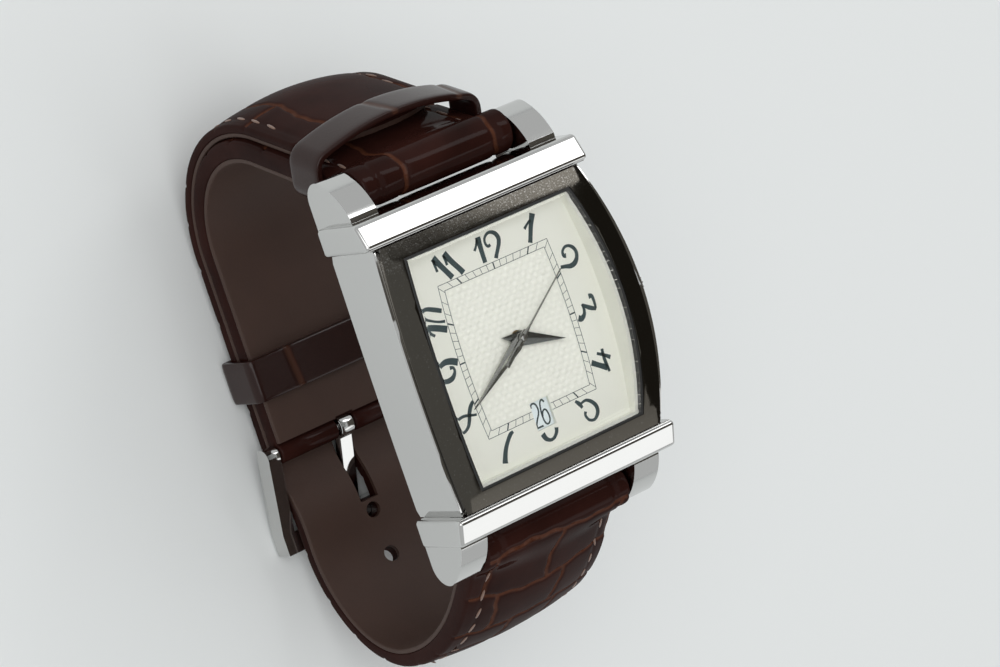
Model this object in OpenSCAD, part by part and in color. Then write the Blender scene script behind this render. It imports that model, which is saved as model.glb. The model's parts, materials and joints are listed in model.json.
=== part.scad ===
/* [Case] */
// Width of the case across its bowed sides, at the middle
case_w = 33.4; // [32.6:0.1:35]
// Length of the case between its two end bars
case_l = 31.5; // [31:0.1:33]
// Radius of the bow of the case's sides, seen from above
side_r = 65; // [55:1:90]
// Radius of the arch of the case's top, seen from the side
arch_r = 55; // [48:1:70]
// Height of the case's upper edge at mid length, above the ridges of the end bars
case_top = 1.25; // [1:0.05:1.6]
// Thickness of the case at mid length
case_thick = 8.15; // [7.9:0.05:9]
// Radius of the arch under the case, which follows the wrist
belly_r = 42; // [38:1:55]
// Width of the case's own rim beside the bezel
rim_w = 0.45; // [0.3:0.05:0.7]

/* [Bezel and crystal] */
// Width of the bezel band with the rim, from the flank to the crystal
band_w = 3.13; // [2.8:0.05:3.4]
// Length of bezel between the crystal and each end bar
band_end = 1.9; // [1.7:0.05:2.2]
// How far the bezel rises from the rim to the crystal
band_rise = 0.7; // [0.4:0.05:0.9]
// Thickness of the crystal
crystal_t = 1.4; // [1.2:0.05:1.6]
// Width of the gasket round the crystal
gasket_w = 0.35; // [0.25:0.05:0.5]
// Width of the inner flange between the crystal and the dial
flange_w = 0.75; // [0.5:0.05:1]

/* [End bars] */
// How far each end of an end bar lies inside the case's widest line
bar_inset = 0.7; // [0.3:0.05:0.9]
// Width of each end bar
bar_w = 3.3; // [3:0.1:3.6]
// Height of each end bar
bar_h = 9.3; // [9:0.1:9.8]
// Drop of the broad outer facet from the ridge to the outer edge
facet_drop = 1.24; // [0.8:0.02:1.6]
// Height of the narrow facet that faces the crystal
inner_facet = 0.9; // [0.6:0.05:1.2]

/* [Lugs] */
// Gap between the two lugs of a pair, which takes the strap
lug_gap = 22; // [21.6:0.1:22.6]
// Width of one lug
lug_w = 3.75; // [3.4:0.05:3.95]
// Reach of the spring bar's centre outside the end bar
bar_reach = 2.75; // [2.7:0.05:3]
// Depth of the spring bar's centre under the ridges
bar_depth = 7.8; // [7.5:0.05:8.2]
// Radius of the lug's rounded tip
lug_tip_r = 2.35; // [2.2:0.05:2.6]
// Radius of the lug's curved top
lug_top_r = 8.3; // [8:0.1:9]

/* [Dial and hands] */
// Thickness of the dial
dial_t = 0.4; // [0.3:0.05:0.5]
// Depth of the dial's face under the ridges
dial_depth = 2; // [1.8:0.05:2.2]
// Width of the date window
window_w = 2.7; // [2.4:0.1:3]
// Height of the date window
window_h = 3.3; // [3:0.1:3.5]
// Distance of the date window from the dial's centre
window_y = 9; // [8.9:0.02:9.1]
// Length of the hour hand from the centre
hour_l = 5.9; // [5.4:0.1:6.4]
// Length of the minute hand from the centre
minute_l = 10.3; // [9.6:0.1:10.8]
// Length of the seconds hand from the centre
second_l = 9.5; // [9:0.1:10.4]
// Thickness of each hand
hand_t = 0.15; // [0.12:0.01:0.18]
// Direction of the hour hand, clockwise from twelve
hour_at = 110; // [0:5:355]
// Direction of the minute hand, clockwise from twelve
minute_at = 240; // [0:5:355]
// Direction of the seconds hand, clockwise from twelve
second_at = 55; // [0:5:355]

/* [Movement] */
// Radius of the movement
move_r = 11.65; // [11.55:0.05:11.8]
// Height of the movement's main plate and everything under it
move_h = 3.1; // [3:0.02:3.2]
// Tooth module of the motion work
work_m = 0.14; // [0.13:0.002:0.145]
// Tooth module of the running train
third_m = 0.08; // [0.076:0.001:0.081]
// Radius of the battery
cell_r = 3.95; // [3.8:0.05:4]
// Thickness of the battery
cell_h = 1.65; // [1.4:0.05:1.8]
// Thickness of the date ring
date_t = 0.25; // [0.2:0.01:0.28]

/* [Crown] */
// Radius of the crown
crown_r = 2.5; // [2.2:0.05:2.6]
// Length of the crown
crown_l = 2; // [1.9:0.05:2.4]
// Depth of the stem under the ridges
stem_depth = 3.8; // [3.78:0.01:3.86]
// Number of flutes round the crown
flutes = 28; // [20:1:36]
// How far the crown pulls out to set the hands
crown_pull = 0.7; // [0.5:0.05:0.8]

/* [Strap] */
// Width of the strap at the buckle
strap_end_w = 20; // [18:0.5:20.4]
// Thickness of the padded strap at the lugs
strap_t = 4; // [3.6:0.1:4.2]
// Thickness of the short piece at the buckle
short_t = 2.6; // [2.4:0.1:2.8]
// Thickness of the long piece from the buckle to its tip
tail_t = 1.9; // [1.8:0.05:2.1]
// How far the edges of the padded strap lie under its middle
strap_crown = 1.4; // [1.1:0.05:1.5]
// How much thinner the tail of the long piece is at its edges than in its middle
tail_edge = 0.4; // [0.3:0.05:0.45]
// Thickness of the outer leather
leather_t = 0.7; // [0.6:0.05:0.75]
// Thickness of the lining
lining_t = 0.6; // [0.5:0.05:0.65]
// Fall of the strap where it leaves the lugs at twelve
leave_12 = 72; // [70:1:74]
// Fall of the strap where it leaves the lugs at six
leave_6 = 45; // [42:1:48]
// Straight run of the strap from the lugs at twelve
run_12 = 20; // [19:0.5:21]
// Radius of the strap's outside round the lower corner at twelve
corner_12 = 15.4; // [15:0.2:16]
// Distance of the strap's tip from the lugs at twelve, along the strap
tip_12 = 7.3; // [6.8:0.1:8]
// Straight run of the strap from the lugs at six
run_6 = 9; // [8:0.5:10]
// Radius of the strap's outside down the side at six
arc_6 = 26; // [25:0.5:27]
// Play between the two layers of strap
layer_gap = 0.15; // [0.1:0.05:0.3]
// Distance between two holes of the strap
hole_step = 6.5; // [6:0.1:7]
// Radius of a hole of the strap
hole_r = 1; // [0.8:0.05:1.1]

/* [Buckle and keepers] */
// Distance of the buckle's bar from the fixed keeper's middle
buckle_y = 9.5; // [9:0.1:10]
// Length of the buckle from its bar to its front
buckle_l = 12.5; // [12.2:0.1:13]
// Radius of the buckle's bar
buckle_pin_r = 0.75; // [0.6:0.05:0.8]
// Width of the tang
tang_w = 2; // [1.8:0.1:2.2]
// Thickness of the tang
tang_t = 1.2; // [1:0.05:1.3]
// Width of a keeper along the strap
keeper_w = 5.3; // [4.5:0.1:6]
// Thickness of a keeper's leather
keeper_t = 1; // [0.9:0.05:1.2]
// Play of the sliding keeper round the strap
keeper_gap = 0.25; // [0.2:0.05:0.4]
// Distance of the sliding keeper from the lugs, along the strap
keeper_12 = 4.6; // [4.3:0.1:6]
// Radius of the arch of the sliding keeper's inside
keeper_arch = 32; // [31:1:40]

/* [Hidden] */
$fn = 48;
fine = 240;
fit = 0.03;
eps = 0.01;

// The case, in heights above the ridges of the end bars
case_half = case_w / 2;
bar_l = case_w - 2 * bar_inset;
arch_z = case_top - arch_r;
belly_z = case_top - case_thick;
open_w = case_half - band_w;
open_l = case_l / 2 - band_end;
crystal_top_r = arch_r + band_rise;
crystal_low_r = crystal_top_r - crystal_t;
dial_z = -dial_depth;
seat_z = dial_z - dial_t;
back_z = seat_z - move_h - 0.2;
back_half_w = open_w + 0.7;
back_half_l = open_l + 0.85;
cavity_w = move_r + 0.35;
cavity_l = move_r + 0.75;
cavity_r = 0.35 * move_r;
back_r = 1.5;
back_screw = [open_w - 0.6, open_l - 0.4];
screw_r = 0.45;
screw_head_r = 0.8;
groove_w = 0.55;
groove_at = 0.25;
groove_h = 0.5;

// The end bars, their saddles and the lugs
ridge_in = 0.35;
bar_in = case_l / 2 + fit;
bar_out = bar_in + bar_w;
tongue_top = facet_drop + 2.2;
tongue_out = bar_out - 0.9;
lug_in = lug_gap / 2;
lug_out = lug_in + lug_w;
pivot_y = bar_out + bar_reach;
pivot_z = -bar_depth;
lug_bore_r = 0.45;
lug_lean = 27;
lug_tip_c = [pivot_y, pivot_z - 0.6];
lug_top_c = lug_tip_c - (lug_top_r - lug_tip_r) * [cos(lug_lean), sin(lug_lean)];
lug_join = lug_tip_c + lug_tip_r * [cos(lug_lean), sin(lug_lean)];
lug_root = tongue_out - 0.4;
spring_bar_r = 0.9;

// The strap's route, as its outside seen from the side, with y outwards and z up
strap_side = 0.2;
strap_w = lug_gap - 2 * strap_side;
function left(h) = [-sin(h), cos(h)];
pivot = [pivot_y, pivot_z];
start_12 = pivot + strap_t / 2 * left(-leave_12);
start_6 = pivot + strap_t / 2 * left(-leave_6);
run_12_end = start_12 + run_12 * [cos(-leave_12), sin(-leave_12)];
corner_12_c = run_12_end - corner_12 * left(-leave_12);
corner_12_turn = (180 - leave_12) * PI / 180;
corner_12_len = corner_12 * corner_12_turn;
loop_z = corner_12_c[1] - corner_12;
flat_12 = corner_12_c[0];
run_6_end = start_6 + run_6 * [cos(-leave_6), sin(-leave_6)];
arc_6_c = run_6_end - arc_6 * left(-leave_6);
arc_6_len = arc_6 * (90 - leave_6) * PI / 180;
corner_6 = arc_6_c[1] - loop_z;
corner_6_len = corner_6 * PI / 2;
flat_6 = arc_6_c[0] + arc_6 - corner_6;

// The long piece crosses from the inner layer to the outer one inside the buckle
cross_out = 10;
cross_in = 2;
cross_run = cross_out - cross_in;
tail_drop = layer_gap + tail_t;
cross_a = 2 * atan(tail_drop / cross_run);
cross_r = cross_run / 2 / sin(cross_a);
cross_len = cross_r * cross_a * PI / 180;
tail_flat = buckle_y + cross_in + flat_12;
tail_at = layer_gap + tail_t;
keeper_play = 0.15;
base_z = loop_z - tail_drop - keeper_play - keeper_t;
case_z = -base_z;

route_12 = [[run_12, 0], [corner_12_len, -corner_12], [flat_12 + buckle_y, 0]];
route_6 = [[run_6, 0], [arc_6_len, -arc_6], [corner_6_len, -corner_6],
    [flat_6 - buckle_y - cross_out, 0], [cross_len, cross_r], [cross_len, -cross_r], [tail_flat, 0],
    [(corner_12 + tail_at) * corner_12_turn, -(corner_12 + tail_at)], [run_12 - tip_12, 0]];
function total(route, i = 0) = i == len(route) ? 0 : route[i][0] + total(route, i + 1);
short_l = total(route_12);
long_l = total(route_6);
tail_from = total([for (i = [0:3]) route_6[i]]);
tail_bend = total([for (i = [0:6]) route_6[i]]);
tail_run = tail_bend + route_6[7][0];
tang_hole_s = tail_from + cross_len * 1.28;

// A point on a route, and the heading there, after a length s
function bend(s, r) = r == 0 ? 0 : s / r * 180 / PI;
function go(p, h, s, r) = r == 0 ? p + s * [cos(h), sin(h)]
    : p + r * [sin(h + bend(s, r)) - sin(h), cos(h) - cos(h + bend(s, r))];
function spot(route, s, p, h, i = 0) = i == len(route) - 1 || s <= route[i][0]
    ? [go(p, h, s, route[i][1]), h + bend(s, route[i][1])]
    : spot(route, s - route[i][0], go(p, h, route[i][0], route[i][1]),
        h + bend(route[i][0], route[i][1]), i + 1);
function ease(s, from, to) = let (k = max(0, min(1, (s - from) / (to - from)))) k * k * (3 - 2 * k);

// The strap's thickness, half width and crown, which all fade along it
crown_in = 4;
thin_6 = run_6 + arc_6_len + 14;
thin_12 = run_12 + corner_12_len;
function thick_12(s) = strap_t + (short_t - strap_t) * ease(s, run_12, thin_12);
function thick_6(s) = strap_t + (tail_t - strap_t) * ease(s, run_6, thin_6);
function half_at(s, thin) = (strap_w + (strap_end_w - strap_w) * min(1, s / thin)) / 2;
function crown_12(s) = strap_crown * (ease(s, 0, crown_in) - ease(s, run_12, thin_12));
function crown_6(s) = strap_crown
    * (ease(s, 0, crown_in) - ease(s, run_6, thin_6) + ease(s, tail_bend, tail_run));
function edge_6(s) = tail_edge * ease(s, tail_bend, tail_run);
function outer_12(s, x) = -crown_12(s) * pow(2 * x / strap_w, 2);
function under_6(s, x) = -(s < tail_from ? 0 : crown_6(s)) * pow(2 * x / strap_w, 2);
function outer_6(s, x) = -crown_6(s) * pow(2 * x / strap_w, 2) - edge_6(s) * pow(2 * x / strap_end_w, 2);

// The movement, in heights above the ridges of the end bars
rim_r = move_r - 0.65;
date_r = rim_r - 0.05;
date_in = 7.5;
date_top = seat_z - 0.1;
ring_floor = date_top - date_t - 0.05;
work_floor = seat_z - 1;
plate_low = seat_z - 1.7;
move_low = seat_z - move_h;
bridge_top = move_low + 0.5;
work_d = 20 * work_m;
minute_dir = -35;
minute_axis = work_d * [cos(minute_dir), sin(minute_dir)];
setting_teeth = 16;
setting_dir = 30;
setting_axis = minute_axis + (30 + setting_teeth) / 2 * work_m * [cos(setting_dir), sin(setting_dir)];
date_m = 0.1;
date_dir = 75;
date_d = 36 * date_m;
date_axis = date_d * [cos(date_dir), sin(date_dir)];
date_tooth = 0.45;
date_tip = date_in - date_tooth;
finger_l = date_in - date_tooth - date_d - 0.06;
train_m = third_m * 34 / 36;
third_d = 34 * third_m;
third_dir = 262;
third_axis = third_d * [cos(third_dir), sin(third_dir)];
second_m = 0.085;
inter_d = 28 * second_m;
inter_dir = 45;
inter_axis = inter_d * [cos(inter_dir), sin(inter_dir)];
rotor_m = 0.095;
rotor_d = 18 * rotor_m;
rotor_dir = 45;
rotor_axis = inter_axis + rotor_d * [cos(rotor_dir), sin(rotor_dir)];
rotor_r = 0.6;
pivot_pin_r = 0.09;
stud_r = 0.15;
cell_dir = 137;
cell_d = 30 * third_m + 0.35 + cell_r;
cell_at = cell_d * [cos(cell_dir), sin(cell_dir)];
stem_z = -stem_depth;
hour_z = dial_z + 0.25;
minute_z = hour_z + hand_t + 0.2;
second_z = minute_z + hand_t + 0.17;
stem_r = 0.45;
stem_in = 6;
clutch_r = 0.8;
clutch_l = 1.4;
clutch_x = 7.2;
square_w = 0.6;
square_from = clutch_x - crown_pull + 0.2;
square_to = clutch_x + clutch_l + crown_pull + 0.6;
tube_r = 1.1;
tube_in_r = stem_r + 0.05;
tube_out = 1.5;
crown_x = case_half + 0.3;
crown_bore_r = 1.6;

// The buckle, from its bar to its front
pin_at = [-buckle_y, loop_z + short_t / 2];
frame_side = 0.3;
frame_arm = 1.7;
arm_r = 1.25;
frame_in = strap_end_w / 2 + frame_side;
frame_out = frame_in + frame_arm;
front_in = -buckle_y - buckle_l + 2.6;
front_out = -buckle_y - buckle_l;
front_top = loop_z - 0.15;
front_low = base_z + 0.35;
tang_open = 12;
tang_play = 0.05;
tang_hub_r = short_t / 2 + layer_gap - tang_play;
tang_slot = 0.3;
tang_slot_from = 1.3;
tang_slot_l = 8;
front_mid = [(front_in + front_out) / 2, base_z + tang_t / 2 + 0.02];
tang_fall = atan2(pin_at[1] - front_mid[1], pin_at[0] - front_in);
tang_in = front_in - pin_at[0];
tang_tip = front_out - pin_at[0] - 0.4;
tang_mid = front_mid[1] - pin_at[1];

steel = [0.86, 0.86, 0.85];
dark_steel = [0.32, 0.31, 0.29];
brass = [0.8, 0.66, 0.36];
hand_grey = [0.16, 0.18, 0.18];
cream = [0.93, 0.91, 0.85];
leather = [0.16, 0.07, 0.05];
thread = [0.45, 0.3, 0.2];
lining_brown = [0.36, 0.22, 0.15];
rubber = [0.08, 0.08, 0.08];

module lifted() translate([0, 0, case_z]) children();
module along_x(r, from, to) translate([from, 0, 0]) rotate([0, 90, 0]) cylinder(r = r, h = to - from);
module across(w) rotate([90, 0, 90]) linear_extrude(w, center = true) children();
module ends() for (s = [0, 1]) mirror([0, s, 0]) children();
module sides() for (s = [0, 1]) mirror([s, 0, 0]) children();
module corners() sides() ends() children();

// A block with bowed long sides, concentric with the case's own
module bowed(half_w, half_l, low, high) intersection() {
    translate([-half_w, -half_l, low]) cube([2 * half_w, 2 * half_l, high - low]);
    translate([case_half - side_r, 0, low])
        cylinder(r = side_r + half_w - case_half, h = high - low, $fn = fine);
    translate([side_r - case_half, 0, low])
        cylinder(r = side_r + half_w - case_half, h = high - low, $fn = fine);
}
module round_block(half_w, half_l, r, low, high) translate([0, 0, low]) union() {
    translate([-half_w + r, -half_l, 0]) cube([2 * (half_w - r), 2 * half_l, high - low]);
    translate([-half_w, -half_l + r, 0]) cube([2 * half_w, 2 * (half_l - r), high - low]);
    corners() translate([half_w - r, half_l - r, 0]) cylinder(r = r, h = high - low);
}
// A drum whose axis lies across the case, under or over its arch
module arch_drum(r, z) translate([0, 0, z]) rotate([0, 90, 0])
    cylinder(r = r, h = 2 * bar_l, center = true, $fn = fine);

module lug() translate([lug_in, 0, 0]) {
    intersection() {
        translate([0, lug_top_c[0], lug_top_c[1]]) along_x(lug_top_r, 0, lug_w);
        translate([0, lug_root, lug_join[1]])
            cube([lug_w, lug_join[0] - lug_root + 1, -tongue_top - lug_join[1]]);
    }
    translate([0, lug_tip_c[0], lug_tip_c[1]]) along_x(lug_tip_r, 0, lug_w);
    translate([0, lug_root, lug_tip_c[1] - lug_tip_r])
        cube([lug_w, lug_tip_c[0] - lug_root, lug_join[1] + eps - lug_tip_c[1] + lug_tip_r]);
}

module case_middle() color(steel) lifted() difference() {
    union() {
        intersection() {
            difference() {
                bowed(case_half, case_l / 2, -bar_h - 0.3, case_top + 1);
                arch_drum(belly_r, belly_z - belly_r);
            }
            arch_drum(arch_r, arch_z);
        }
        ends() {
            translate([-lug_out, case_l / 2 - eps, -bar_h + 0.35])
                cube([2 * lug_out, tongue_out - case_l / 2 + eps, bar_h - 0.35 - tongue_top]);
            sides() lug();
        }
    }
    bowed(case_half - rim_w, case_l / 2 + eps, seat_z, case_top + 2);
    round_block(cavity_w, cavity_l, cavity_r, belly_z - 3, seat_z + 1);
    round_block(back_half_w, back_half_l, back_r, belly_z - 4, back_z);
    difference() {
        round_block(cavity_w + groove_at + groove_w, cavity_l + groove_at + groove_w,
            cavity_r + groove_at + groove_w, back_z - 1, back_z + groove_h);
        round_block(cavity_w + groove_at, cavity_l + groove_at, cavity_r + groove_at, back_z - 2, back_z + 1);
    }
    corners() translate([back_screw[0], back_screw[1], back_z - 1]) cylinder(r = screw_r, h = 2.4);
    translate([0, 0, stem_z]) along_x(tube_r, cavity_w - 1, case_half + 1);
    ends() translate([0, pivot_y, pivot_z]) along_x(lug_bore_r, -lug_in - 1.6, lug_in + 1.6);
}

// A saddle that covers the end of the case and the roots of its lugs
module end_bar() color(steel) lifted() difference() {
    across(bar_l) polygon([[bar_in, -inner_facet], [bar_in + ridge_in, 0], [bar_out, -facet_drop],
        [bar_out, -bar_h + 0.3], [bar_out - 0.3, -bar_h], [bar_in + 0.3, -bar_h], [bar_in, -bar_h + 0.3]]);
    translate([-lug_out - fit, bar_in - 1, -bar_h - 1])
        cube([2 * (lug_out + fit), tongue_out + fit - bar_in + 1, bar_h + 1 - tongue_top + fit]);
    sides() translate([lug_in - fit, bar_in, -bar_h - 1])
        cube([lug_w + 2 * fit, bar_w + 1, bar_h + 1 - tongue_top + fit]);
}
module end_bar_12() end_bar();
module end_bar_6() mirror([0, 1, 0]) end_bar();

// The band that rises from the rim to the crystal, along the same arch as the case
module bezel() color(dark_steel) lifted() difference() {
    intersection() {
        bowed(case_half - rim_w - fit, case_l / 2 - fit, seat_z, case_top + 3);
        translate([0, 0, arch_z]) rotate([0, 90, 0]) rotate_extrude($fn = fine)
            polygon([[0, -case_half], [arch_r, -case_half], [crystal_top_r, -open_w],
                [crystal_top_r, open_w], [arch_r, case_half], [0, case_half]]);
    }
    bowed(open_w, open_l, seat_z - 1, case_top + 4);
}

module crystal() color([0.85, 0.92, 0.95], 0.35) lifted() intersection() {
    bowed(open_w - gasket_w, open_l - gasket_w, seat_z, case_top + 4);
    difference() {
        arch_drum(crystal_top_r, arch_z);
        arch_drum(crystal_low_r, arch_z);
    }
}
module crystal_gasket() color(rubber) lifted() intersection() {
    difference() {
        bowed(open_w, open_l, seat_z, case_top + 4);
        bowed(open_w - gasket_w, open_l - gasket_w, seat_z - 1, case_top + 5);
    }
    difference() {
        arch_drum(crystal_top_r - 0.1, arch_z);
        arch_drum(crystal_low_r, arch_z);
    }
}
module inner_flange() color(cream) lifted() difference() {
    bowed(open_w - fit, open_l - fit, dial_z, case_top);
    bowed(open_w - flange_w, open_l - flange_w, dial_z - 1, case_top + 1);
    difference() {
        bowed(case_half, case_l, dial_z, case_top + 3);
        arch_drum(crystal_low_r, arch_z);
    }
}

module dial() color(cream) lifted() {
    difference() {
        bowed(open_w - fit, open_l - fit, seat_z, dial_z);
        translate([0, 0, seat_z - 1]) cylinder(r = 0.95, h = 2);
        translate([-window_w / 2, -window_y - window_h / 2, seat_z - 1]) cube([window_w, window_h, 3]);
    }
    for (a = [40, 220]) rotate(a) translate([move_r - 0.33, 0, seat_z - 0.9])
        cylinder(r = 0.2, h = 0.9, $fn = 16);
}

// A wheel's teeth: each runs from root to tip and back
function tooth(z, m, i) = let (a = 360 / z, root = m * (z / 2 - 1.2), tip = m * (z / 2 + 0.9), c = a * i)
    [for (p = [[root, -0.36], [tip, -0.12], [tip, 0.12], [root, 0.36]])
        p[0] * [cos(c + a * p[1]), sin(c + a * p[1])]];
module toothed(z, m, h, at = 0) rotate(at) linear_extrude(h)
    polygon([for (i = [0:z - 1]) each tooth(z, m, i)]);
// Where wheel b, in direction d from wheel a, has a tooth, so that it meshes with a's tooth at a_at
function mesh(a_at, a, b, d) = d + 180 + 180 / b - (a_at - d) * a / b;
module spokes(z, m, hub, h) for (k = [0:3]) rotate(90 * k + 45) {
    rim = m * (z / 2 - 2.4);
    translate([(rim + hub) / 2, 0, -1]) cylinder(r = (rim - hub) / 2, h = h + 2, $fn = 24);
}
module turned(a) rotate([0, 0, -a]) children();

module hour_hand() color(hand_grey) lifted() turned(hour_at) translate([0, 0, hour_z]) difference() {
    union() {
        linear_extrude(hand_t)
            polygon([[0, hour_l], [-0.85, 1.9], [-0.3, 0], [0, -3], [0.3, 0], [0.85, 1.9]]);
        cylinder(r = 1.05, h = hand_t);
    }
    translate([0, 0, -1]) cylinder(r = 0.75, h = 2);
}
module minute_hand() color(hand_grey) lifted() turned(minute_at) translate([0, 0, minute_z]) difference() {
    union() {
        linear_extrude(hand_t) polygon([[0, minute_l], [-0.16, minute_l - 1], [-0.62, 3.6], [-0.36, 0.4],
            [-0.3, -1.1], [0.3, -1.1], [0.36, 0.4], [0.62, 3.6], [0.16, minute_l - 1]]);
        cylinder(r = 0.8, h = hand_t);
    }
    translate([0, 0, -1]) cylinder(r = 0.45, h = 2);
    translate([0, 0, -1]) linear_extrude(2)
        polygon([[-0.1, 1.1], [-0.28, 3.4], [0, 5.4], [0.28, 3.4], [0.1, 1.1]]);
}
module seconds_hand() color(hand_grey) lifted() turned(second_at) translate([0, 0, second_z]) difference() {
    union() {
        linear_extrude(hand_t) polygon([[0.04, second_l], [-0.04, second_l], [-0.12, 0], [-0.28, -1.6],
            [-0.28, -3.9], [0.28, -3.9], [0.28, -1.6], [0.12, 0]]);
        cylinder(r = 0.55, h = hand_t);
    }
    translate([0, 0, -1]) cylinder(r = 0.125, h = 2, $fn = 24);
    translate([-0.13, -3.5, -1]) cube([0.26, 1.7, 2]);
}

// The motion work between the dial and the main plate
hour_wheel_z = seat_z - 0.45;
minute_wheel_z = seat_z - 0.85;
module hour_wheel() color(brass) lifted() difference() {
    union() {
        translate([0, 0, hour_wheel_z])
            toothed(32, work_m, 0.2, mesh(minute_dir + 180, 8, 32, minute_dir + 180));
        translate([0, 0, hour_wheel_z + 0.2]) toothed(24, date_m, 0.15, date_dir);
        translate([0, 0, hour_wheel_z]) cylinder(r = 0.75, h = hour_z + hand_t - hour_wheel_z);
    }
    translate([0, 0, hour_wheel_z - 1]) cylinder(r = 0.5, h = 4);
}
module cannon_pinion() color(brass) lifted() difference() {
    union() {
        translate([0, 0, minute_wheel_z - 0.1]) toothed(10, work_m, 0.35, minute_dir);
        translate([0, 0, plate_low + 0.1]) cylinder(r = 0.45, h = minute_z + hand_t - plate_low - 0.1);
    }
    translate([0, 0, plate_low - 1]) cylinder(r = 0.3, h = 1.6);
    translate([0, 0, plate_low]) cylinder(r = 0.17, h = 4, $fn = 24);
}
minute_wheel_at = mesh(minute_dir, 10, 30, minute_dir);
module minute_wheel() color(brass) lifted() translate([minute_axis[0], minute_axis[1], 0]) difference() {
    union() {
        translate([0, 0, minute_wheel_z]) toothed(30, work_m, 0.2, minute_wheel_at);
        translate([0, 0, minute_wheel_z + 0.2])
            toothed(8, work_m, hour_wheel_z - minute_wheel_z, minute_dir + 180);
    }
    translate([0, 0, minute_wheel_z - 1]) cylinder(r = stud_r + fit, h = 3, $fn = 24);
}
module setting_wheel() color(brass) lifted()
    translate([setting_axis[0], setting_axis[1], minute_wheel_z]) difference() {
    toothed(setting_teeth, work_m, 0.3, mesh(minute_wheel_at, 30, setting_teeth, setting_dir));
    translate([0, 0, -1]) cylinder(r = stud_r + fit, h = 3, $fn = 24);
}
module date_wheel() color(brass) lifted()
    translate([date_axis[0], date_axis[1], hour_wheel_z + 0.22]) difference() {
    union() {
        toothed(48, date_m, 0.12, mesh(date_dir, 24, 48, date_dir));
        translate([0, -0.3, 0]) cube([finger_l, 0.6, 0.12]);
    }
    translate([0, 0, -1]) cylinder(r = stud_r + fit, h = 3, $fn = 24);
    spokes(48, date_m, 0.7, 0.12);
}
module date_ring() color([0.88, 0.9, 0.93]) lifted()
    translate([0, 0, date_top - date_t]) linear_extrude(date_t) difference() {
    circle(r = date_r, $fn = fine);
    polygon([for (i = [0:30]) let (a = 360 / 31 * (i + 0.5)) each
        [for (p = [[-0.4, date_in], [-0.1, date_tip], [0.1, date_tip], [0.4, date_in]])
            p[1] * [cos(a + 360 / 31 * p[0]), sin(a + 360 / 31 * p[0])]]]);
}

module stud(at, r, low, high) translate([at[0], at[1], low]) cylinder(r = r, h = high - low, $fn = 24);
module main_plate() color([0.78, 0.74, 0.6]) lifted() {
    difference() {
        translate([0, 0, plate_low]) cylinder(r = move_r, h = seat_z - plate_low, $fn = fine);
        translate([0, 0, ring_floor]) cylinder(r = rim_r, h = 3, $fn = fine);
        translate([0, 0, work_floor]) cylinder(r = date_in - 0.7, h = 3);
        for (a = [40, 220]) rotate(a) stud([move_r - 0.33, 0], 0.2, seat_z - 0.9, seat_z + 1);
        stud([0, 0], 0.5, plate_low - 1, seat_z + 1);
        stud(cell_at, cell_r + 0.08, plate_low - 1, move_low + 0.1 + cell_h + 0.08);
        translate([stem_in - 0.25, -clutch_r - 0.15, plate_low - 1])
            cube([move_r, 2 * clutch_r + 0.3, stem_z + clutch_r + 0.06 - plate_low + 1]);
        for (p = [third_axis, inter_axis, rotor_axis])
            stud(p, pivot_pin_r + fit, plate_low - 1, plate_low + 0.35);
    }
    stud(minute_axis, stud_r, work_floor - eps, hour_wheel_z + 0.2);
    stud(setting_axis, stud_r, work_floor - eps, minute_wheel_z + 0.35);
    stud(date_axis, stud_r, work_floor - eps, hour_wheel_z + 0.38);
}
module movement_holder() color([0.9, 0.9, 0.88]) lifted() difference() {
    round_block(cavity_w - 0.05, cavity_l - 0.05, cavity_r - 0.05, move_low + 0.2, seat_z);
    translate([0, 0, move_low - 1]) cylinder(r = move_r + fit, h = 6, $fn = fine);
    translate([move_r - 2, -1.2, move_low - 1]) cube([4, 2.4, stem_z + 1.2 - move_low + 1]);
}

// The running train under the main plate
centre_z = plate_low - 0.3;
third_z = plate_low - 0.68;
module centre_wheel() color(brass) lifted() difference() {
    union() {
        translate([0, 0, centre_z]) toothed(60, third_m, 0.15, third_dir);
        translate([0, 0, centre_z]) cylinder(r = 0.27, h = plate_low + 0.55 - centre_z, $fn = 24);
        translate([0, 0, centre_z]) cylinder(r = 0.5, h = 0.28);
    }
    translate([0, 0, centre_z - 1]) cylinder(r = 0.17, h = 4, $fn = 24);
    translate([0, 0, centre_z]) spokes(60, third_m, 0.8, 0.15);
}
module arbor(top) translate([0, 0, move_low + 0.2])
    cylinder(r = pivot_pin_r, h = top - move_low - 0.2, $fn = 24);
module third_wheel() color(brass) lifted() translate([third_axis[0], third_axis[1], 0]) difference() {
    union() {
        translate([0, 0, third_z]) toothed(64, train_m, 0.15, third_dir + 180);
        translate([0, 0, third_z + 0.15])
            toothed(8, third_m, plate_low - 0.06 - third_z - 0.15, mesh(third_dir, 60, 8, third_dir));
        translate([0, 0, bridge_top + 0.02]) cylinder(r = 0.25, h = third_z - bridge_top, $fn = 24);
        arbor(plate_low + 0.3);
    }
    translate([0, 0, third_z]) spokes(64, train_m, 0.7, 0.15);
}
module seconds_wheel() color(brass) lifted() {
    arbor(third_z);
    translate([0, 0, bridge_top + 0.02])
        cylinder(r = 0.125, h = second_z + hand_t + 0.1 - bridge_top, $fn = 24);
    translate([0, 0, third_z - 0.02]) toothed(8, train_m, 0.2, mesh(third_dir + 180, 64, 8, third_dir + 180));
    translate([0, 0, third_z - 0.2]) difference() {
        toothed(48, second_m, 0.1, inter_dir);
        spokes(48, second_m, 0.5, 0.1);
    }
}
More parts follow.
